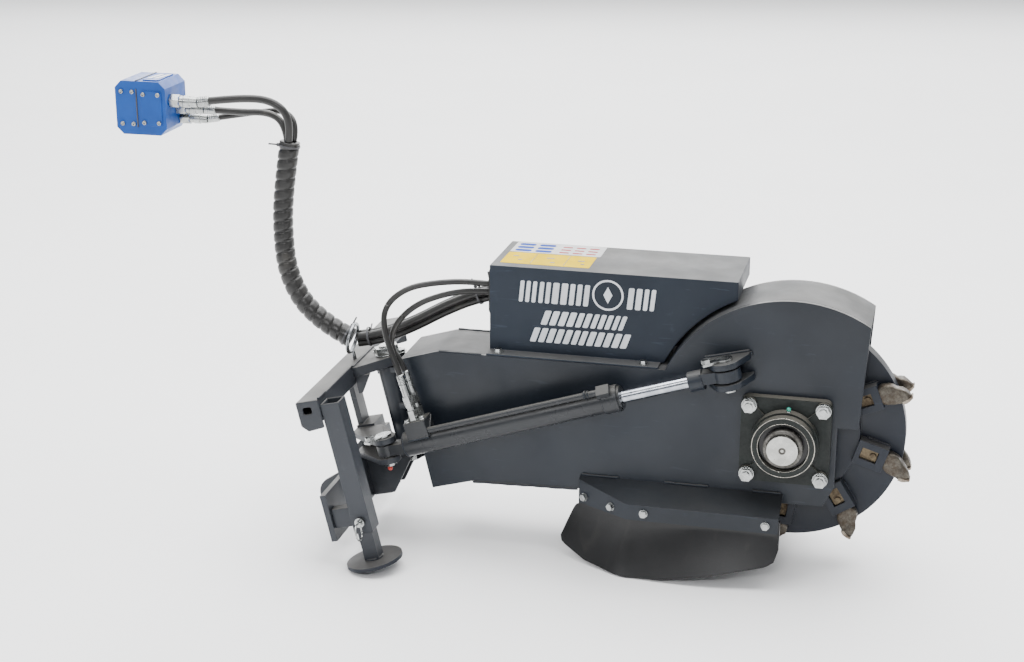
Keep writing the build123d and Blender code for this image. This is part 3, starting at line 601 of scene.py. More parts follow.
# --- hoses ---------------------------------------------------------------------
HOSE_R = 0.0085
THIN_R = 0.006
SLEEVE_R = 0.021
STRANDS = ((0.0, -10.5), (-9.3, 5.4), (9.3, 5.4))
BUNDLE_ROUTE = (
    (-572, 10, 240), (-640, 11, 222), (-710, 8, 190),
    (-780, -2, 150), (-848, -15, 122), (-894, -19, 115),
)
SLEEVE_ROUTE = (
    (-908, -20, 114), (-985, -22, 150), (-1045, -16, 235),
    (-1056, -8, 345), (-1050, 0, 435), (-1036, 2, 517),
)
TAIL_ROUTES = (
    ((-1036, -7, 517), (-1027, -8, 566), (-1064, -12, 604), (-1138, -16, 606), (-1222, -22, 594)),
    ((-1044, 8, 517), (-1048, 9, 552), (-1082, 12, 574), (-1150, 12, 570), (-1222, 8, 574)),
    ((-1030, 8, 516), (-1026, 20, 548), (-1056, 34, 576), (-1128, 36, 566), (-1222, 24, 550)),
)
TAIL_R = (0.008, 0.007, 0.006)
WRAP_PITCH = 0.0215
WRAP_GROOVE = 0.0035


def wrap_radius(distance, angle):
    """Radius of a spiral wrap: wide round turns with a narrow groove between them."""
    phase = (distance / WRAP_PITCH - angle / (2 * math.pi)) % 1.0
    groove = max(0.0, 1 - abs(phase - 0.5) / 0.5)
    crown = 1 - (1 - groove) ** 5
    return SLEEVE_R - WRAP_GROOVE * (1 - crown)


def make_sleeve():
    path = resample(spline_path([arm(*p) for p in SLEEVE_ROUTE]), 0.0016)
    vertices, faces = tube_mesh(path, wrap_radius, around=40)
    piece = new_piece("sleeve_wrap", vertices, faces, "hitch", LOOKS["hose"])
    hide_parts("hose_sleeve")


CRIMPS = 6
GRIP = 1.38
TAIL_FERRULE = 0.042
CYLINDER_FERRULE = 0.036


def ferrule(path, radius, length):
    """Crimped ferrule with a swivel nut, at the far end of a hose path."""
    axis = (path[-1] - path[-2]).normalized()
    grip = radius * GRIP
    profile = [(-length * 0.6, radius * 1.02)]
    for i in range(CRIMPS):
        x0 = -length * 0.55 + length * 0.55 * i / CRIMPS
        profile += [(x0, grip), (x0 + length * 0.05, grip), (x0 + length * 0.06, grip * 0.9)]
    profile += [(0.0, grip * 0.8), (length * 0.04, grip * 0.8)]
    return lathe_mesh(profile, path[-1], axis, around=24)


def make_tails():
    """Three hoses from the sleeve to the coupler, which the first one holds with its end."""
    for number, (route, radius) in enumerate(zip(TAIL_ROUTES, TAIL_R), 1):
        points = [arm(*p) for p in route]
        path = resample(spline_path(points), 0.004)
        vertices, faces = tube_mesh(path, radius)
        piece = new_piece(f"tail_{number}", vertices, faces, "hitch", LOOKS["hose"])
        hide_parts(f"tail_hose_{number}")
        end = ferrule(path, radius, TAIL_FERRULE)
        collar = add_piece(f"tail_ferrule_{number}", end, "hitch", "zinc")


def make_bundle():
    """Supply hoses from the motor cover to the ring."""
    for number, (dy, dz) in enumerate(STRANDS, 1):
        points = [arm(x, y + dy, z + dz) for x, y, z in BUNDLE_ROUTE]
        path = resample(spline_path(points), 0.006)
        vertices, faces = tube_mesh(path, HOSE_R)
        piece = new_piece(f"supply_hose_{number}", vertices, faces, None, LOOKS["hose"])
        if number == 1:
            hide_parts("supply_hoses")
        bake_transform(piece)


CYL_ROUTES = (
    (
        (-572, -22, 252), (-640, -40, 262), (-706, -62, 262),
        (-768, -84, 252), (-808, -106, 216), (-804, -120, 165),
    ),
    (
        (-572, -20, 236), (-636, -38, 244), (-694, -60, 238),
        (-750, -84, 218), (-790, -100, 176), (-796, -106, 130),
    ),
)
PORTS = ((84, -11), (88, 11))
FITTING_TOP = 128


def make_cylinder_hoses():
    """Two thin hoses from the motor cover to the cylinder, each split at its crest."""
    for number, (route, (x, y)) in enumerate(zip(CYL_ROUTES, PORTS), 1):
        points = [arm(*p) for p in route] + [cylinder(x, y, 170), cylinder(x, y, FITTING_TOP)]
        path = resample(spline_path(points), 0.004)
        crest = len(path) * 6 // 10
        upper = tube_mesh(path[: crest + 1], THIN_R, around=16)
        lower = tube_mesh(path[crest:], THIN_R, around=16)
        top = new_piece(f"cylinder_hose_{number}_upper", *upper, None, LOOKS["hose"])
        end = new_piece(f"cylinder_hose_{number}_lower", *lower, None, LOOKS["hose"])
        if number == 1:
            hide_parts("cylinder_hoses")
        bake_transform(top)
        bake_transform(end)
        fitting = ferrule(path, THIN_R, CYLINDER_FERRULE)
        add_piece(f"cylinder_hose_ferrule_{number}", fitting, "barrel", "zinc")


# --- flaps ---------------------------------------------------------------------
LIP_OUT = -145.7
LIP_TOP = -149.0
LIP_BOTTOM = -177.0
FLAP_BOTTOM = -293.0
FLARE = 46.0
FLAP_THICK = 0.0078
END_SPREAD = 0.036
FLAP_ROWS = 26
FLAP_REACH = 42
FLAP_PLAN = (
    (3, LIP_OUT), (-150, LIP_OUT), (-266, LIP_OUT), (-302, LIP_OUT), (-334, -127.6), (-410, -85.4),
)
FLAP_EDGE = (
    (-461, -248), (-452, -259), (-392, -278), (-300, -286), (-225, -281),
    (-120, -261), (-20, -238), (-4, -228), (2, -216), (3, -205),
)


def edge_height(x):
    """Height of the sheet's lower edge at a place along the arm."""
    for (x0, z0), (x1, z1) in zip(FLAP_EDGE, FLAP_EDGE[1:]):
        if x <= x1:
            return z0 + (z1 - z0) * max(0.0, (x - x0) / (x1 - x0))
    return FLAP_EDGE[-1][1]


def below_lip(z):
    """0 at the lip's lower edge, and 1 at the lowest line of the sheet."""
    return max(0.0, (LIP_BOTTOM - z) / (LIP_BOTTOM - FLAP_BOTTOM))


def flap_offset(z, share):
    """How far the sheet stands out at a height. share runs from its front to its back."""
    down = below_lip(z)
    wave = 8.0 * math.sin(math.pi * (2.3 * share - 0.15)) * down ** 0.8
    return FLARE * down ** (1.15 + 0.5 * share) + wave


def make_flap(name, side):
    """Rubber sheet that follows the bracket's lip and flares out below it."""
    top = resample(spline_path([Vector((x, y, 0)) / 1000 for x, y in FLAP_PLAN]), 0.007)
    rows, columns = FLAP_ROWS, len(top)
    sheets = []
    for inset in (0.0, FLAP_THICK):
        for i, point in enumerate(top):
            ahead = top[min(i + 1, columns - 1)] - top[max(i - 1, 0)]
            ahead.normalize()
            out = Vector((-ahead.y, ahead.x, 0))
            spread = END_SPREAD * max(0.0, (i / (columns - 1) - 0.7) / 0.3)
            bottom = edge_height(point.x * 1000 + out.x * FLAP_REACH + ahead.x * spread * 1000)
            for j in range(rows):
                z = LIP_TOP + (bottom - LIP_TOP) * j / (rows - 1)
                away = flap_offset(z, i / (columns - 1)) / 1000 - inset
                spot = point + out * away + ahead * (spread * below_lip(z) ** 0.5)
                sheets.append(AXLE + Vector((spot.x, spot.y * side, z / 1000)))
    faces = []
    back = columns * rows
    for i in range(columns - 1):
        for j in range(rows - 1):
            a, b = i * rows + j, (i + 1) * rows + j
            faces.append((a, b, b + 1, a + 1))
            faces.append((back + a + 1, back + b + 1, back + b, back + a))
        for j in (0, rows - 1):
            a, b = i * rows + j, (i + 1) * rows + j
            edge = (a, back + a, back + b, b)
            faces.append(edge if j == 0 else tuple(reversed(edge)))
    for i in (0, columns - 1):
        for j in range(rows - 1):
            a = i * rows + j
            edge = (a, a + 1, back + a + 1, back + a)
            faces.append(edge if i == 0 else tuple(reversed(edge)))
    if side < 0:
        faces = [tuple(reversed(face)) for face in faces]
    piece = new_piece(f"{name}_sheet", sheets, faces, "arm", LOOKS["rubber"])
    soften(piece, 0.0015, angle=50)
    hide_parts(name)


# --- cutting teeth -------------------------------------------------------------
TEETH = 9
FIRST_TOOTH = 28.0
HOLDER_MID = 166.0
HOLDER_LEAN = math.radians(5.5)
TOOTH_Y = 31.0
SHELL = 18
GROOVE_DEPTH = 2.4
GROOVE_WIDTH = 3.2
DENT = 2.0
TIP_HALF = 12.2
TOOTH_SECTIONS = (
    (27, -15, 15, 12.0), (33, -18, 18, 12.4), (38, -21, 19.5, 12.6), (43, -22.5, 19, 11.6),
    (50, -24, 17.5, 11.8), (57, -25, 13, 10.2), (63, -26, 8, 9.6), (67, -26.5, 5.5, 11.6),
    (73, -26, 1.5, 11.9), (79, -24.5, -5, 11.2), (84, -22.5, -12, 9.0), (87, -20.5, -16.5, 5.0),
)


def on_wheel(station, side, x, y, z):
    """Point of a tooth holder's own frame, in the row frame."""
    c, s = math.cos(HOLDER_LEAN), math.sin(HOLDER_LEAN)
    x, z = x * c + z * s + HOLDER_MID, z * c - x * s
    turn = math.radians(FIRST_TOOTH + station * 360 / TEETH)
    c, s = math.cos(turn), math.sin(turn)
    return arm(x * c - z * s, y * side, x * s + z * c)


def every_tooth():
    return [(station, side) for side in (-1, 1) for station in range(TEETH)]


def groove(x, z):
    """Depth of the groove in a tooth's flank. z is measured from the flank's middle."""
    rise = min(1, max(0, (x - 40) / 5))
    fall = min(1, max(0, (70 - x) / 8))
    return GROOVE_DEPTH * math.exp(-(((z - 2) / GROOVE_WIDTH) ** 2)) * rise * fall


def wear(point, seed):
    """Unevenness of a used tooth at a point, from coarse and fine noise."""
    return noise.noise(point / 13 + seed) + 0.4 * noise.noise(point / 4 + seed)


def tooth_mesh(station, side):
    """Forged tooth with a waist behind its wide cutting tip, dented by use."""
    vertices = []
    seed = Vector((station * 7.3, side * 3.1, 0))
    for x, low, high, half in TOOTH_SECTIONS:
        middle, tall = (low + high) / 2, (high - low) / 2
        for k in range(SHELL):
            angle = 2 * math.pi * k / SHELL
            c, s = math.cos(angle), math.sin(angle)
            y = TOOTH_Y + half * math.copysign(abs(c) ** 0.28, c)
            z = middle + tall * math.copysign(abs(s) ** 0.32, s)
            y -= groove(x, z - middle) * math.copysign(1, c)
            dent = wear(Vector((x, y, z)), seed) * DENT * min(1, (x - 26) / 14)
            vertices.append(on_wheel(station, side, x + dent, y + dent * c, z + dent * s))
    rows = len(TOOTH_SECTIONS)
    return vertices, facing_out(band_faces(rows, SHELL) + end_faces(rows, SHELL), side)


def facing_out(faces, side):
    """Turns the faces of a mirrored piece round."""
    return [tuple(reversed(face)) for face in faces] if side < 0 else faces


def tip_mesh(station, side):
    """Hard plate brazed on the tooth's leading face."""
    outline = (
        (66, -27.5), (66, -22), (72, -21), (80, -20),
        (88, -17), (88, -21), (80, -25.5), (74, -27.8),
    )
    near = [on_wheel(station, side, x, TOOTH_Y - TIP_HALF, z) for x, z in outline]
    far = [on_wheel(station, side, x, TOOTH_Y + TIP_HALF, z) for x, z in outline]
    count = len(outline)
    faces = [tuple(range(count)), tuple(reversed(range(count, 2 * count)))]
    for i in range(count):
        j = (i + 1) % count
        faces.append((j, i, i + count, j + count))
    return near + far, facing_out(faces, side)


def make_teeth():
    teeth = join_meshes([tooth_mesh(*tooth) for tooth in every_tooth()])
    piece = add_piece("forged_teeth", teeth, "cutter", "tooth_steel")
    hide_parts("cutter_teeth")
    tips = join_meshes([tip_mesh(*tooth) for tooth in every_tooth()])
    add_piece("tooth_tips", tips, "cutter", "carbide", bevel=0.0006)


# --- weld beads ----------------------------------------------------------------
BEAD_STEP = 0.0009
RIPPLE = 0.0042


def bead_mesh(points, radius):
    """Weld bead with overlapping ripples along straight runs."""
    path = resample([Vector(p) for p in points], BEAD_STEP)

    def ripple(distance, angle):
        wobble = 0.10 * math.sin(distance * 190) + 0.07 * math.sin(distance * 71 + 2)
        return radius / 1000 * (0.9 + 0.16 * abs(math.sin(math.pi * distance / RIPPLE)) + wobble)

    return tube_mesh(path, ripple, around=8)


def rod_clevis(x, y, z):
    """Point about the rod pin, in the leaning frame. y is from the arm's middle."""
    return hitch(716 + x, y, z - 67)


def ring_of(centre, radius, axis, count=72):
    side = axis.orthogonal().normalized()
    up = axis.cross(side)
    turns = [2 * math.pi * k / count for k in range(count + 1)]
    return [centre + (side * math.cos(t) + up * math.sin(t)) * (radius / 1000) for t in turns]


NECK_WELD = ((-97, -20.5, 9), (-85, -20.5, 9), (-85, 20.5, 9), (-97, 20.5, 9))


def straight_beads(place, rows):
    """Beads through points of one frame. Each row starts with its bead's radius."""
    return [bead_mesh([place(*point) for point in points], radius) for radius, *points in rows]


def make_welds():
    """Visible fillet welds of the arm, hitch, cylinder and wheel."""
    arm_beads = straight_beads(arm, (
        (3.0, (-634, -74.5, -157.5), (-414, -74.5, -151)),
        (2.8, (-404, -77, -117), (-330, -77, -117)),
        (2.8, (-236, -77, -117), (-148, -77, -117)),
        (2.8, (-60, -77, -117), (-4, -77, -117)),
        (2.2, (-704, -74.5, 120), (-615, -74.5, 120.3)),
    ))
    arm_beads += straight_beads(rod_clevis, (
        (3.0, (-44, -76.5, 28), (44, -76.5, 28)),
        (2.6, (-44, -76.5, 14), (44, -76.5, 14)),
        (3.0, (-44, -76.5, -28), (44, -76.5, -28)),
        (3.2, (46, -76.5, 17), (46, -76.5, 26)),
    ))
    hitch_beads = straight_beads(hitch, (
        (2.8, (-56.5, -68, 47), (-56.5, 68, 47)),
        (2.6, (-57, -30, -109), (-40, -30, -109)),
        (2.8, *NECK_WELD),
        (2.6, (-57.5, -270, 8), (-57.5, -230, 8)),
        (2.4, (-57, -270, 51), (-57, -230, 51)),
    ))
    barrel_beads = [
        bead_mesh(ring_of(cylinder(46, 0, 0), 23.5, STROKE), 2.4),
        bead_mesh(ring_of(cylinder(476, 0, 0), 25.4, STROKE), 1.8),
        bead_mesh(ring_of(cylinder(446, -19.7, 25.2), 7.2, STROKE, 48), 2.2),
        bead_mesh(ring_of(cylinder(452, -19.7, 25.2), 6.9, STROKE, 48), 1.6),
    ]
    barrel_beads += straight_beads(cylinder, (
        (2.4, (62, -28, 14), (108, -28, 14)),
        (1.8, (108.5, -26, 16), (108.5, 18, 46)),
    ))
    leg_beads = [bead_mesh(ring_of(hitch(-37.5, -250, -300), 16.5, LEAN, 40), 2.6)]
    wheel_beads = []
    for station, side in every_tooth():
        for z in (-25.5, 25.5):
            run = [on_wheel(station, side, x, 18.5, z) for x in (-18, 29)]
            wheel_beads.append(bead_mesh(run, 2.6))
        run = [on_wheel(station, side, 30.5, 18.5, z) for z in (-24, 24)]
        wheel_beads.append(bead_mesh(run, 2.4))
    groups = {"arm": arm_beads, "hitch": hitch_beads, "barrel": barrel_beads, "leg": leg_beads}
    for body, beads in groups.items():
        add_piece(f"{body}_welds", join_meshes(beads), body, "paint")
    add_piece("wheel_welds", join_meshes(wheel_beads), "cutter", "wheel_paint")


# --- far side ------------------------------------------------------------------
CASE_SCREWS = (
    (78, 40), (78, -52), (0, -89), (-90, -62), (-190, -36), (-290, -8), (-390, 14),
    (-432, 66), (-432, 112),
)
COVER_SCREWS = ((-596, 134), (-596, 288), (-480, 134), (-120, 288), (-360, 288))
CASE_RIB = ((-395, 74), (-120, 118), (18, 52), (18, -22), (-44, -58), (-395, 36), (-395, 74))
PIVOT_SCREWS = ((33, -6, 17), (-34, 24, 10))
PORT_PLUGS = ((69, 12), (101, -16), (70, -20))


def screw_mesh(origin, axis, across):
    """Flange screw: a thin collar under a six-sided head with a chamfered top."""
    half = across / 2000
    collar = [(0, half * 1.45), (0.0012, half * 1.5), (0.002, half * 1.3)]
    head = [(0.0015, half * 1.13), (0.0058, half * 1.13), (0.0066, half * 0.98)]
    return join_meshes([lathe_mesh(collar, origin, axis, 24), lathe_mesh(head, origin, axis, 6)])


def add_screws(name, screws, body, bevel):
    """Zinc plated screws or nuts with flat faces, as one piece."""
    add_piece(name, join_meshes(screws), body, "zinc", bevel=bevel, smooth=False)


def make_far_side():
    """Screws and a pressed rib on the belt case, and the arm's welds on that side."""
    far = Vector((0, 1, 0))
    screws = [screw_mesh(arm(x, 141, z), far, 10) for x, z in CASE_SCREWS + COVER_SCREWS]
    add_screws("case_screws", screws, "arm", 0.0003)
    rib = resample([arm(x, 141.2, z) for x, z in CASE_RIB], 0.004)
    add_piece("case_rib", tube_mesh(rib, 0.0026, around=10), "arm", "paint")
    beads = straight_beads(arm, (
        (3.0, (-634, 74.5, -157.5), (-414, 74.5, -151)),
        (2.8, (-404, 77, -117), (-250, 77, -117)),
        (2.8, (-148, 77, -117), (-4, 77, -117)),
        (2.2, (-704, 74.5, 120), (-615, 74.5, 120.3)),
    ))
    add_piece("far_welds", join_meshes(beads), "arm", "paint")


def make_small_screws():
    """Screws on the swing bracket, and plugs in the cylinder's port block."""
    screws = [screw_mesh(hitch(x, y, 46), LEAN, across) for x, y, across in PIVOT_SCREWS]
    add_screws("pivot_screws", screws, "hitch", 0.0004)
    plugs = [screw_mesh(cylinder(x, y, 50), STROKE_UP, 9) for x, y in PORT_PLUGS]
    add_screws("port_plugs", plugs, "barrel", 0.0003)


# --- bearing details -----------------------------------------------------------
NEAR = Vector((0, -1, 0))
SHIELD = ((-1.5, 61.6), (0.5, 61.6), (1.2, 60.9), (1.2, 60.2), (0.5, 59.4), (-1.5, 59.4))
SHIELD_LIP = ((-1.5, 50.0), (0.6, 50.0), (1.0, 49.5), (0.6, 48.8), (-1.5, 48.6))
INNER_RING = ((0, 30.15), (0, 38.5), (14.6, 38.5), (15.9, 37.2), (15.9, 31.6), (14.8, 30.15))
SET_SCREW = ((-2, 3.4), (0.6, 3.4), (1.0, 2.9), (1.0, 1.5), (-0.8, 1.5))
# Dark ring at the shaft's end: painted shade standing in for the recess of the centre hole.
CENTRE_HOLE_SHADE = ((-1.0, 7.0), (0.35, 7.0), (0.5, 6.6), (0.5, 3.2), (-1.0, 2.0))
NIPPLE = ((-4, 4.2), (3, 4.2), (3.6, 3.2), (6, 3.2), (6.5, 2.2), (9, 2.2), (10.5, 1.2))
NIPPLE_CAP = ((5.5, 3.9), (9.5, 4.1), (11.0, 3.6), (11.6, 2.0), (11.8, 0.4))
RED_CAP = ((0, 4.5), (5, 4.8), (7.5, 4.3), (8.8, 2.8), (9, 0.5))


def millimetres(loop):
    return [(a / 1000, b / 1000) for a, b in loop]


def make_bearing_details():
    """Seal rings, inner ring with its screws, a dark ring painted as the shade of the shaft's centre hole, and
    small caps.
    """
    rings = [
        ring_mesh(millimetres(SHIELD), arm(0, -129.2, 0), NEAR, 96),
        ring_mesh(millimetres(SHIELD_LIP), arm(0, -130, 0), NEAR, 96),
    ]
    add_piece("bearing_rings", join_meshes(rings), "arm", "ring_steel")
    inner = ring_mesh(millimetres(INNER_RING), arm(0, -122.6, 0), NEAR, 96)
    add_piece("inner_ring", inner, "cutter", "dark_steel")
    screws = []
    for turn in (62, -58):
        away = Vector((math.cos(math.radians(turn)), 0, math.sin(math.radians(turn))))
        place = arm(0, -131, 0) + away * 0.0384
        screws.append(ring_mesh(millimetres(SET_SCREW), place, away, 12))
    # Dark ring in the shaft's centre hole: painted shade of that recess.
    screws.append(ring_mesh(millimetres(CENTRE_HOLE_SHADE), arm(0, -146, 0), NEAR, 32))
    add_piece("set_screws", join_meshes(screws), "cutter", "dark_steel")
    lean = Vector((0.1, -0.45, 0.89)).normalized()
    foot = arm(5, -106, 65.5)
    nipple = lathe_mesh(millimetres(NIPPLE), foot, lean, 20)
    add_piece("grease_nipple", nipple, "arm", "zinc")
    cap = lathe_mesh(millimetres(NIPPLE_CAP), foot, lean, 20)
    add_piece("nipple_cap", cap, "arm", "green")
    cap = lathe_mesh(millimetres(RED_CAP), hitch(-8, -121, -158), -LEAN + NEAR * 0.7, 20)
    add_piece("red_cap", cap, "hitch", "red_cap")


# --- printed graphics ----------------------------------------------------------
PRINT_LIFT = 0.3
STROKE_PITCH = 15
BAR_ROWS = (
    (229, 273, 5, 0.10, (
        (-545, 34), (-505, 22), (-478, 30), (-443, 24), (-414, 10), (-326, 27), (-294, 22),
    )),
    (184, 214, 4.5, 0.35, ((-500, 30), (-465, 30), (-430, 26), (-399, 38), (-356, 22))),
    (147, 177, 4.5, 0.35, ((-522, 62), (-455, 12), (-438, 26), (-407, 46), (-356, 30))),
)
DARK_MARKS = (
    (-575, 30, 12), (-560, 6, 9), (-505, 28, 16), (-492, -2, 10), (-440, 22, 14), (-430, 0, 8),
)


def rounded(x0, x1, z0, z1, radius, slant=0.0):
    """Rounded bar outline. slant moves its top forward."""
    outline = []
    left, right, low, high = x0 + radius, x1 - radius, z0 + radius, z1 - radius
    for cx, cz, start in ((right, low, -90), (right, high, 0), (left, high, 90), (left, low, 180)):
        for step in range(6):
            angle = math.radians(start + 18 * step)
            x, z = cx + radius * math.cos(angle), cz + radius * math.sin(angle)
            outline.append(((x + slant * (z - z0)) / 1000, z / 1000))
    return outline


def side_mark(outline):
    return prism_mesh(outline, arm(0, -45.02, 0), (1, 0, 0), (0, 0, 1), (0, -0.00035, 0))


def top_mark(outline, lift=0.0):
    return prism_mesh(outline, arm(0, 0, 300.02 + lift), (1, 0, 0), (0, 1, 0), (0, 0, 0.0003))


def label_marks(bars, radius):
    """Marks on top of a label. Each has its left end, width, near edge and depth."""
    return [top_mark(rounded(x, x + w, y, y + d, radius), PRINT_LIFT) for x, w, y, d in bars]


def print_piece(name, marks, look, body="arm"):
    add_piece(name, join_meshes(marks), body, look, smooth=False)


def make_prints():
    """Abstract white bars and a ring on the cover's side, and two plain labels on its top."""
    marks = []
    for low, high, slit, slant, bars in BAR_ROWS:
        for x, wide in bars:
            strokes = max(1, round((wide + slit) / STROKE_PITCH))
            stroke = (wide - slit * (strokes - 1)) / strokes
            for k in range(strokes):
                start = x + k * (stroke + slit)
                marks.append(side_mark(rounded(start, start + stroke, low, high, 2.5, slant)))
    loop = millimetres(((0.0, 31.5), (0.35, 31.5), (0.35, 27.5), (0.0, 27.5)))
    marks.append(ring_mesh(loop, arm(-364, -45.02, 255), NEAR, 64))
    diamond = ((-9, 0), (0, -17), (9, 0), (0, 17))
    marks.append(side_mark([((-364 + u) / 1000, (255 + v) / 1000) for u, v in diamond]))
    print_piece("side_bars", marks, "white")
    print_piece("label_white", [top_mark(rounded(-590, -402, 63, 138, 3))], "label")
    print_piece("label_yellow", [top_mark(rounded(-590, -408, -20, 60, 3))], "yellow")
    blue = [(-582 + 42 * c, 34, 70 + 22 * k, 14) for c in range(2) for k in range(3)]
    print_piece("label_blue_marks", label_marks(blue, 6), "blue_print")
    red = [(-490 + 28 * c, 20, 74 + 20 * k, 6) for c in range(3) for k in range(3)]
    print_piece("label_red_marks", label_marks(red, 2), "red_print")
    dark = label_marks([(x, 1, -16, 72) for x in (-530, -462)], 0.4)
    dark += label_marks([(x, w, y, 5) for x, y, w in DARK_MARKS], 2)
    print_piece("label_dark_marks", dark, "dark_print")


# --- ties, coupler details -----------------------------------------------------
COUPLER_FRONT = -1282
COUPLER_Y = (-48, 52)
COUPLER_Z = (526, 636)
PLATE_SCREW = ((-1, 4.6), (2.6, 4.6), (3.4, 3.9), (3.4, 2.4), (1.4, 2.2), (1.2, 0.4))
HOSE_NUT = ((0.2, 5.5), (1.5, 7.2), (20, 7.2), (22.4, 5.6))
HOSE_STEM = ((20, 3.2), (30, 3.2), (31, 4.4), (44, 4.4), (45, 3.0), (60, 3.0))
GROMMET = (
    (-36, 200), (42, 200), (46, 204), (46, 282), (42, 286), (-36, 286), (-40, 282),
    (-40, 204), (-36, 200),
)


def tie_mesh(centre, axis, radius, turn):
    """Cable tie: a thin band with its locking head. Its radius is in millimetres."""
    band = millimetres(((-2.2, radius), (-2.2, radius + 1.1), (2.2, radius + 1.1), (2.2, radius)))
    side = axis.cross(Vector((0, 0, 1))).normalized()
    up = side.cross(axis)
    out = side * math.cos(turn) + up * math.sin(turn)
    axes = (axis, axis.cross(out), out)
    head = box_mesh(centre + out * (radius + 2.4) / 1000, (0.0062, 0.0056, 0.0048), axes)
    tail = box_mesh(centre + out * (radius + 13) / 1000, (0.0034, 0.0011, 0.018), axes)
    return join_meshes([ring_mesh(band, centre, axis, 40), head, tail])


def add_ties(name, route, ties, radius):
    """Cable ties at shares of a route, each with its body and the turn of its head."""
    path = resample(spline_path([arm(*p) for p in route]), 0.004)
    for number, (share, body, turn) in enumerate(ties, 1):
        i = int(share * len(path))
        axis = (path[i + 1] - path[i - 1]).normalized()
        mesh = tie_mesh(path[i], axis, radius, turn)
        add_piece(f"{name}_{number}", mesh, body, "dark_print", bevel=0.0003)


def make_ties():
    on_bundle = ((0.13, "arm", 1.3), (0.21, "arm", 1.9), (0.93, "hitch", 0.4))
    add_ties("bundle_tie", BUNDLE_ROUTE, on_bundle, 19.2)
    add_ties("sleeve_tie", SLEEVE_ROUTE, ((0.03, "hitch", 1.2), (0.975, "hitch", 1.2)), 21.3)


def widened(loop, wide):
    return millimetres([(a, wide + b) for a, b in loop])


def make_coupler_details():
    """Seam, cover plates, screws, hose nuts and marks of the coupler block."""
    (y0, y1), (z0, z1) = COUPLER_Y, COUPLER_Z
    runs = (
        ((-1345, y0 - 0.6, z0 + 16), (-1345, y0 - 0.6, z1 - 16)),
        ((-1345, y0, z1 + 0.4), (-1345, y1, z1 + 0.4)),
    )
    seam = [tube_mesh(resample([arm(*a), arm(*b)], 0.02), 0.0016, around=8) for a, b in runs]
    add_piece("coupler_seam", join_meshes(seam), "hitch", "dark_print")
    side = rounded(-1336, -1290, 545, 617, 6)
    top = rounded(-1336, -1300, y0 + 10, y1 - 10, 6)
    plates = [
        prism_mesh(side, arm(0, y0 + 0.2, 0), (1, 0, 0), (0, 0, 1), (0, -0.0022, 0)),
        prism_mesh(top, arm(0, 0, z1 - 0.2), (1, 0, 0), (0, 1, 0), (0, 0, 0.0024)),
    ]
    add_piece("coupler_plates", join_meshes(plates), "hitch", "blue", bevel=0.0008)
    places = [arm(x, y0, z) for x in (-1378, -1354) for z in (548, 614)]
    places += [arm(x, y0 - 2, z) for x in (-1329, -1297) for z in (552, 610)]
    screws = [lathe_mesh(millimetres(PLATE_SCREW), place, NEAR, 20) for place in places]
    add_piece("coupler_screws", join_meshes(screws), "hitch", "zinc")
    nuts, stems = [], []
    for route, radius in zip(TAIL_ROUTES, TAIL_R):
        place = arm(COUPLER_FRONT, *route[-1][1:])
        wide = radius * 1000
        nuts.append(lathe_mesh(widened(HOSE_NUT, wide), place, (1, 0, 0), 6))
        stems.append(lathe_mesh(widened(HOSE_STEM, wide), place, (1, 0, 0), 28))
    add_screws("coupler_nuts", nuts, "hitch", 0.0006)
    add_piece("coupler_stems", join_meshes(stems), "hitch", "zinc", bevel=0.0005)
    marks = []
    for x in (-1332, -1318):
        bar = rounded(x, x + 9, y0 + 26, y1 - 26, 2, 0.2)
        marks.append(prism_mesh(bar, arm(0, 0, z1 + 2.3), (1, 0, 0), (0, 1, 0), (0, 0, 0.0003)))
    print_piece("coupler_marks", marks, "white", "hitch")


def make_grommet():
    """Rubber trim round the hoses' opening in the cover's rear wall."""
    path = resample([arm(-605.4, y, z) for y, z in GROMMET], 0.003)
    add_piece("hose_grommet", tube_mesh(path, 0.0028, around=10), "arm", "rubber")


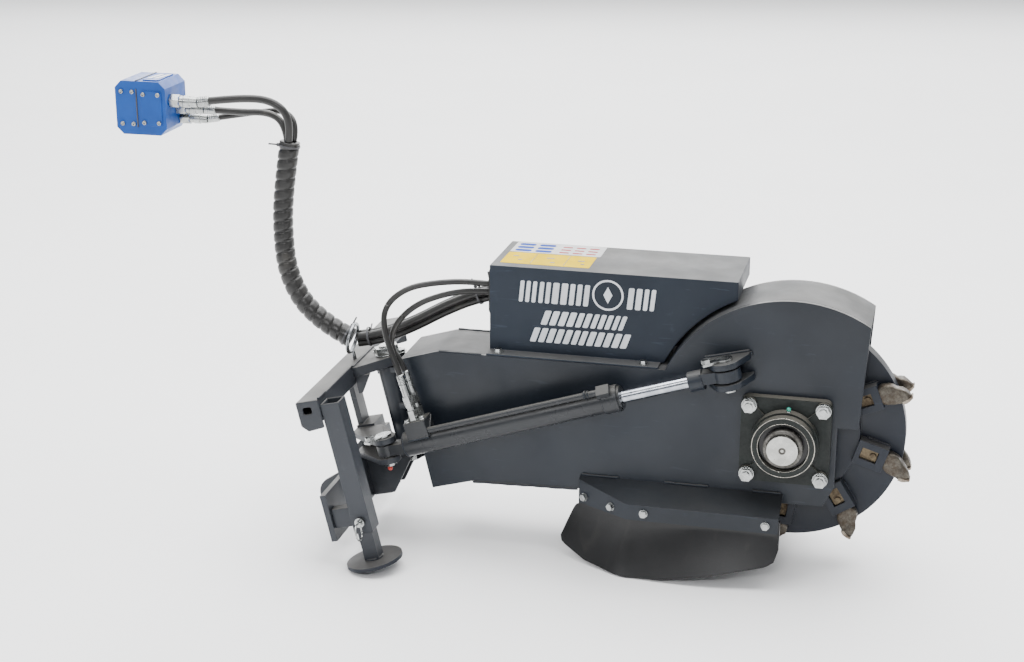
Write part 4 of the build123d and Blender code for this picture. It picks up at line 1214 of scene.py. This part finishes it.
# --- floor and light -----------------------------------------------------------
def make_floor():
    low = cad_box[0][2]
    mesh = bpy.data.meshes.new("floor")
    reach = 40.0
    corners = [(-reach, -reach), (reach, -reach), (reach, reach), (-reach, reach)]
    mesh.from_pydata([(x, y, low) for x, y in corners], [], [(0, 1, 2, 3)])
    floor = bpy.data.objects.new("floor", mesh)
    bpy.context.scene.collection.objects.link(floor)
    s = Shader("studio_floor", roughness=0.7)
    s.colour(s.mix(s.spread(s.noise(1.5, 3.0)), (0.93, 0.93, 0.93), (0.95, 0.95, 0.95)))
    mesh.materials.append(s.material)


def area_light(name, place, target, size, power):
    data = bpy.data.lights.new(name, "AREA")
    data.shape = "RECTANGLE"
    data.size, data.size_y = size
    data.energy = power
    light = bpy.data.objects.new(name, data)
    light.location = place
    light.rotation_euler = (Vector(target) - Vector(place)).to_track_quat("-Z", "Y").to_euler()
    bpy.context.scene.collection.objects.link(light)


def make_light():
    world = bpy.data.worlds.new("studio")
    bpy.context.scene.world = world
    world.use_nodes = True
    tree = world.node_tree
    background = tree.nodes["Background"]
    background.inputs["Strength"].default_value = 1.35
    coords = tree.nodes.new("ShaderNodeTexCoord").outputs["Generated"]
    split = tree.nodes.new("ShaderNodeSeparateXYZ")
    tree.links.new(coords, split.inputs["Vector"])
    fade = tree.nodes.new("ShaderNodeMapRange")
    fade.interpolation_type = "SMOOTHSTEP"
    fade.inputs["From Min"].default_value = -0.75
    fade.inputs["From Max"].default_value = 0.1
    tree.links.new(split.outputs["Y"], fade.inputs["Value"])
    blend = tree.nodes.new("ShaderNodeMix")
    blend.data_type = "RGBA"
    blend.inputs["A"].default_value = (0.16, 0.17, 0.19, 1)
    blend.inputs["B"].default_value = (0.98, 0.99, 1.0, 1)
    tree.links.new(fade.outputs["Result"], blend.inputs["Factor"])
    tree.links.new(blend.outputs["Result"], background.inputs["Color"])
    centre = arm(-450, 0, 0)
    area_light("sky", (0.4, 0.9, 5.0), centre, (6.5, 5.0), 720)
    area_light("back_wall", (-0.8, 6.5, 3.2), centre, (9.0, 4.0), 560)
    area_light("front_fill", (-2.6, -4.4, 3.4), centre, (2.2, 1.6), 70)
    area_light("front_key", (0.9, -4.6, 2.9), arm(-200, 0, -150), (0.9, 0.4), 75)


dress_cad_nodes()
make_sleeve()
make_tails()
make_bundle()
make_cylinder_hoses()
make_flap("flap_near", 1)
make_flap("flap_far", -1)
make_teeth()
make_welds()
make_far_side()
make_small_screws()
make_bearing_details()
make_prints()
make_ties()
make_coupler_details()
make_grommet()
make_floor()
make_light()
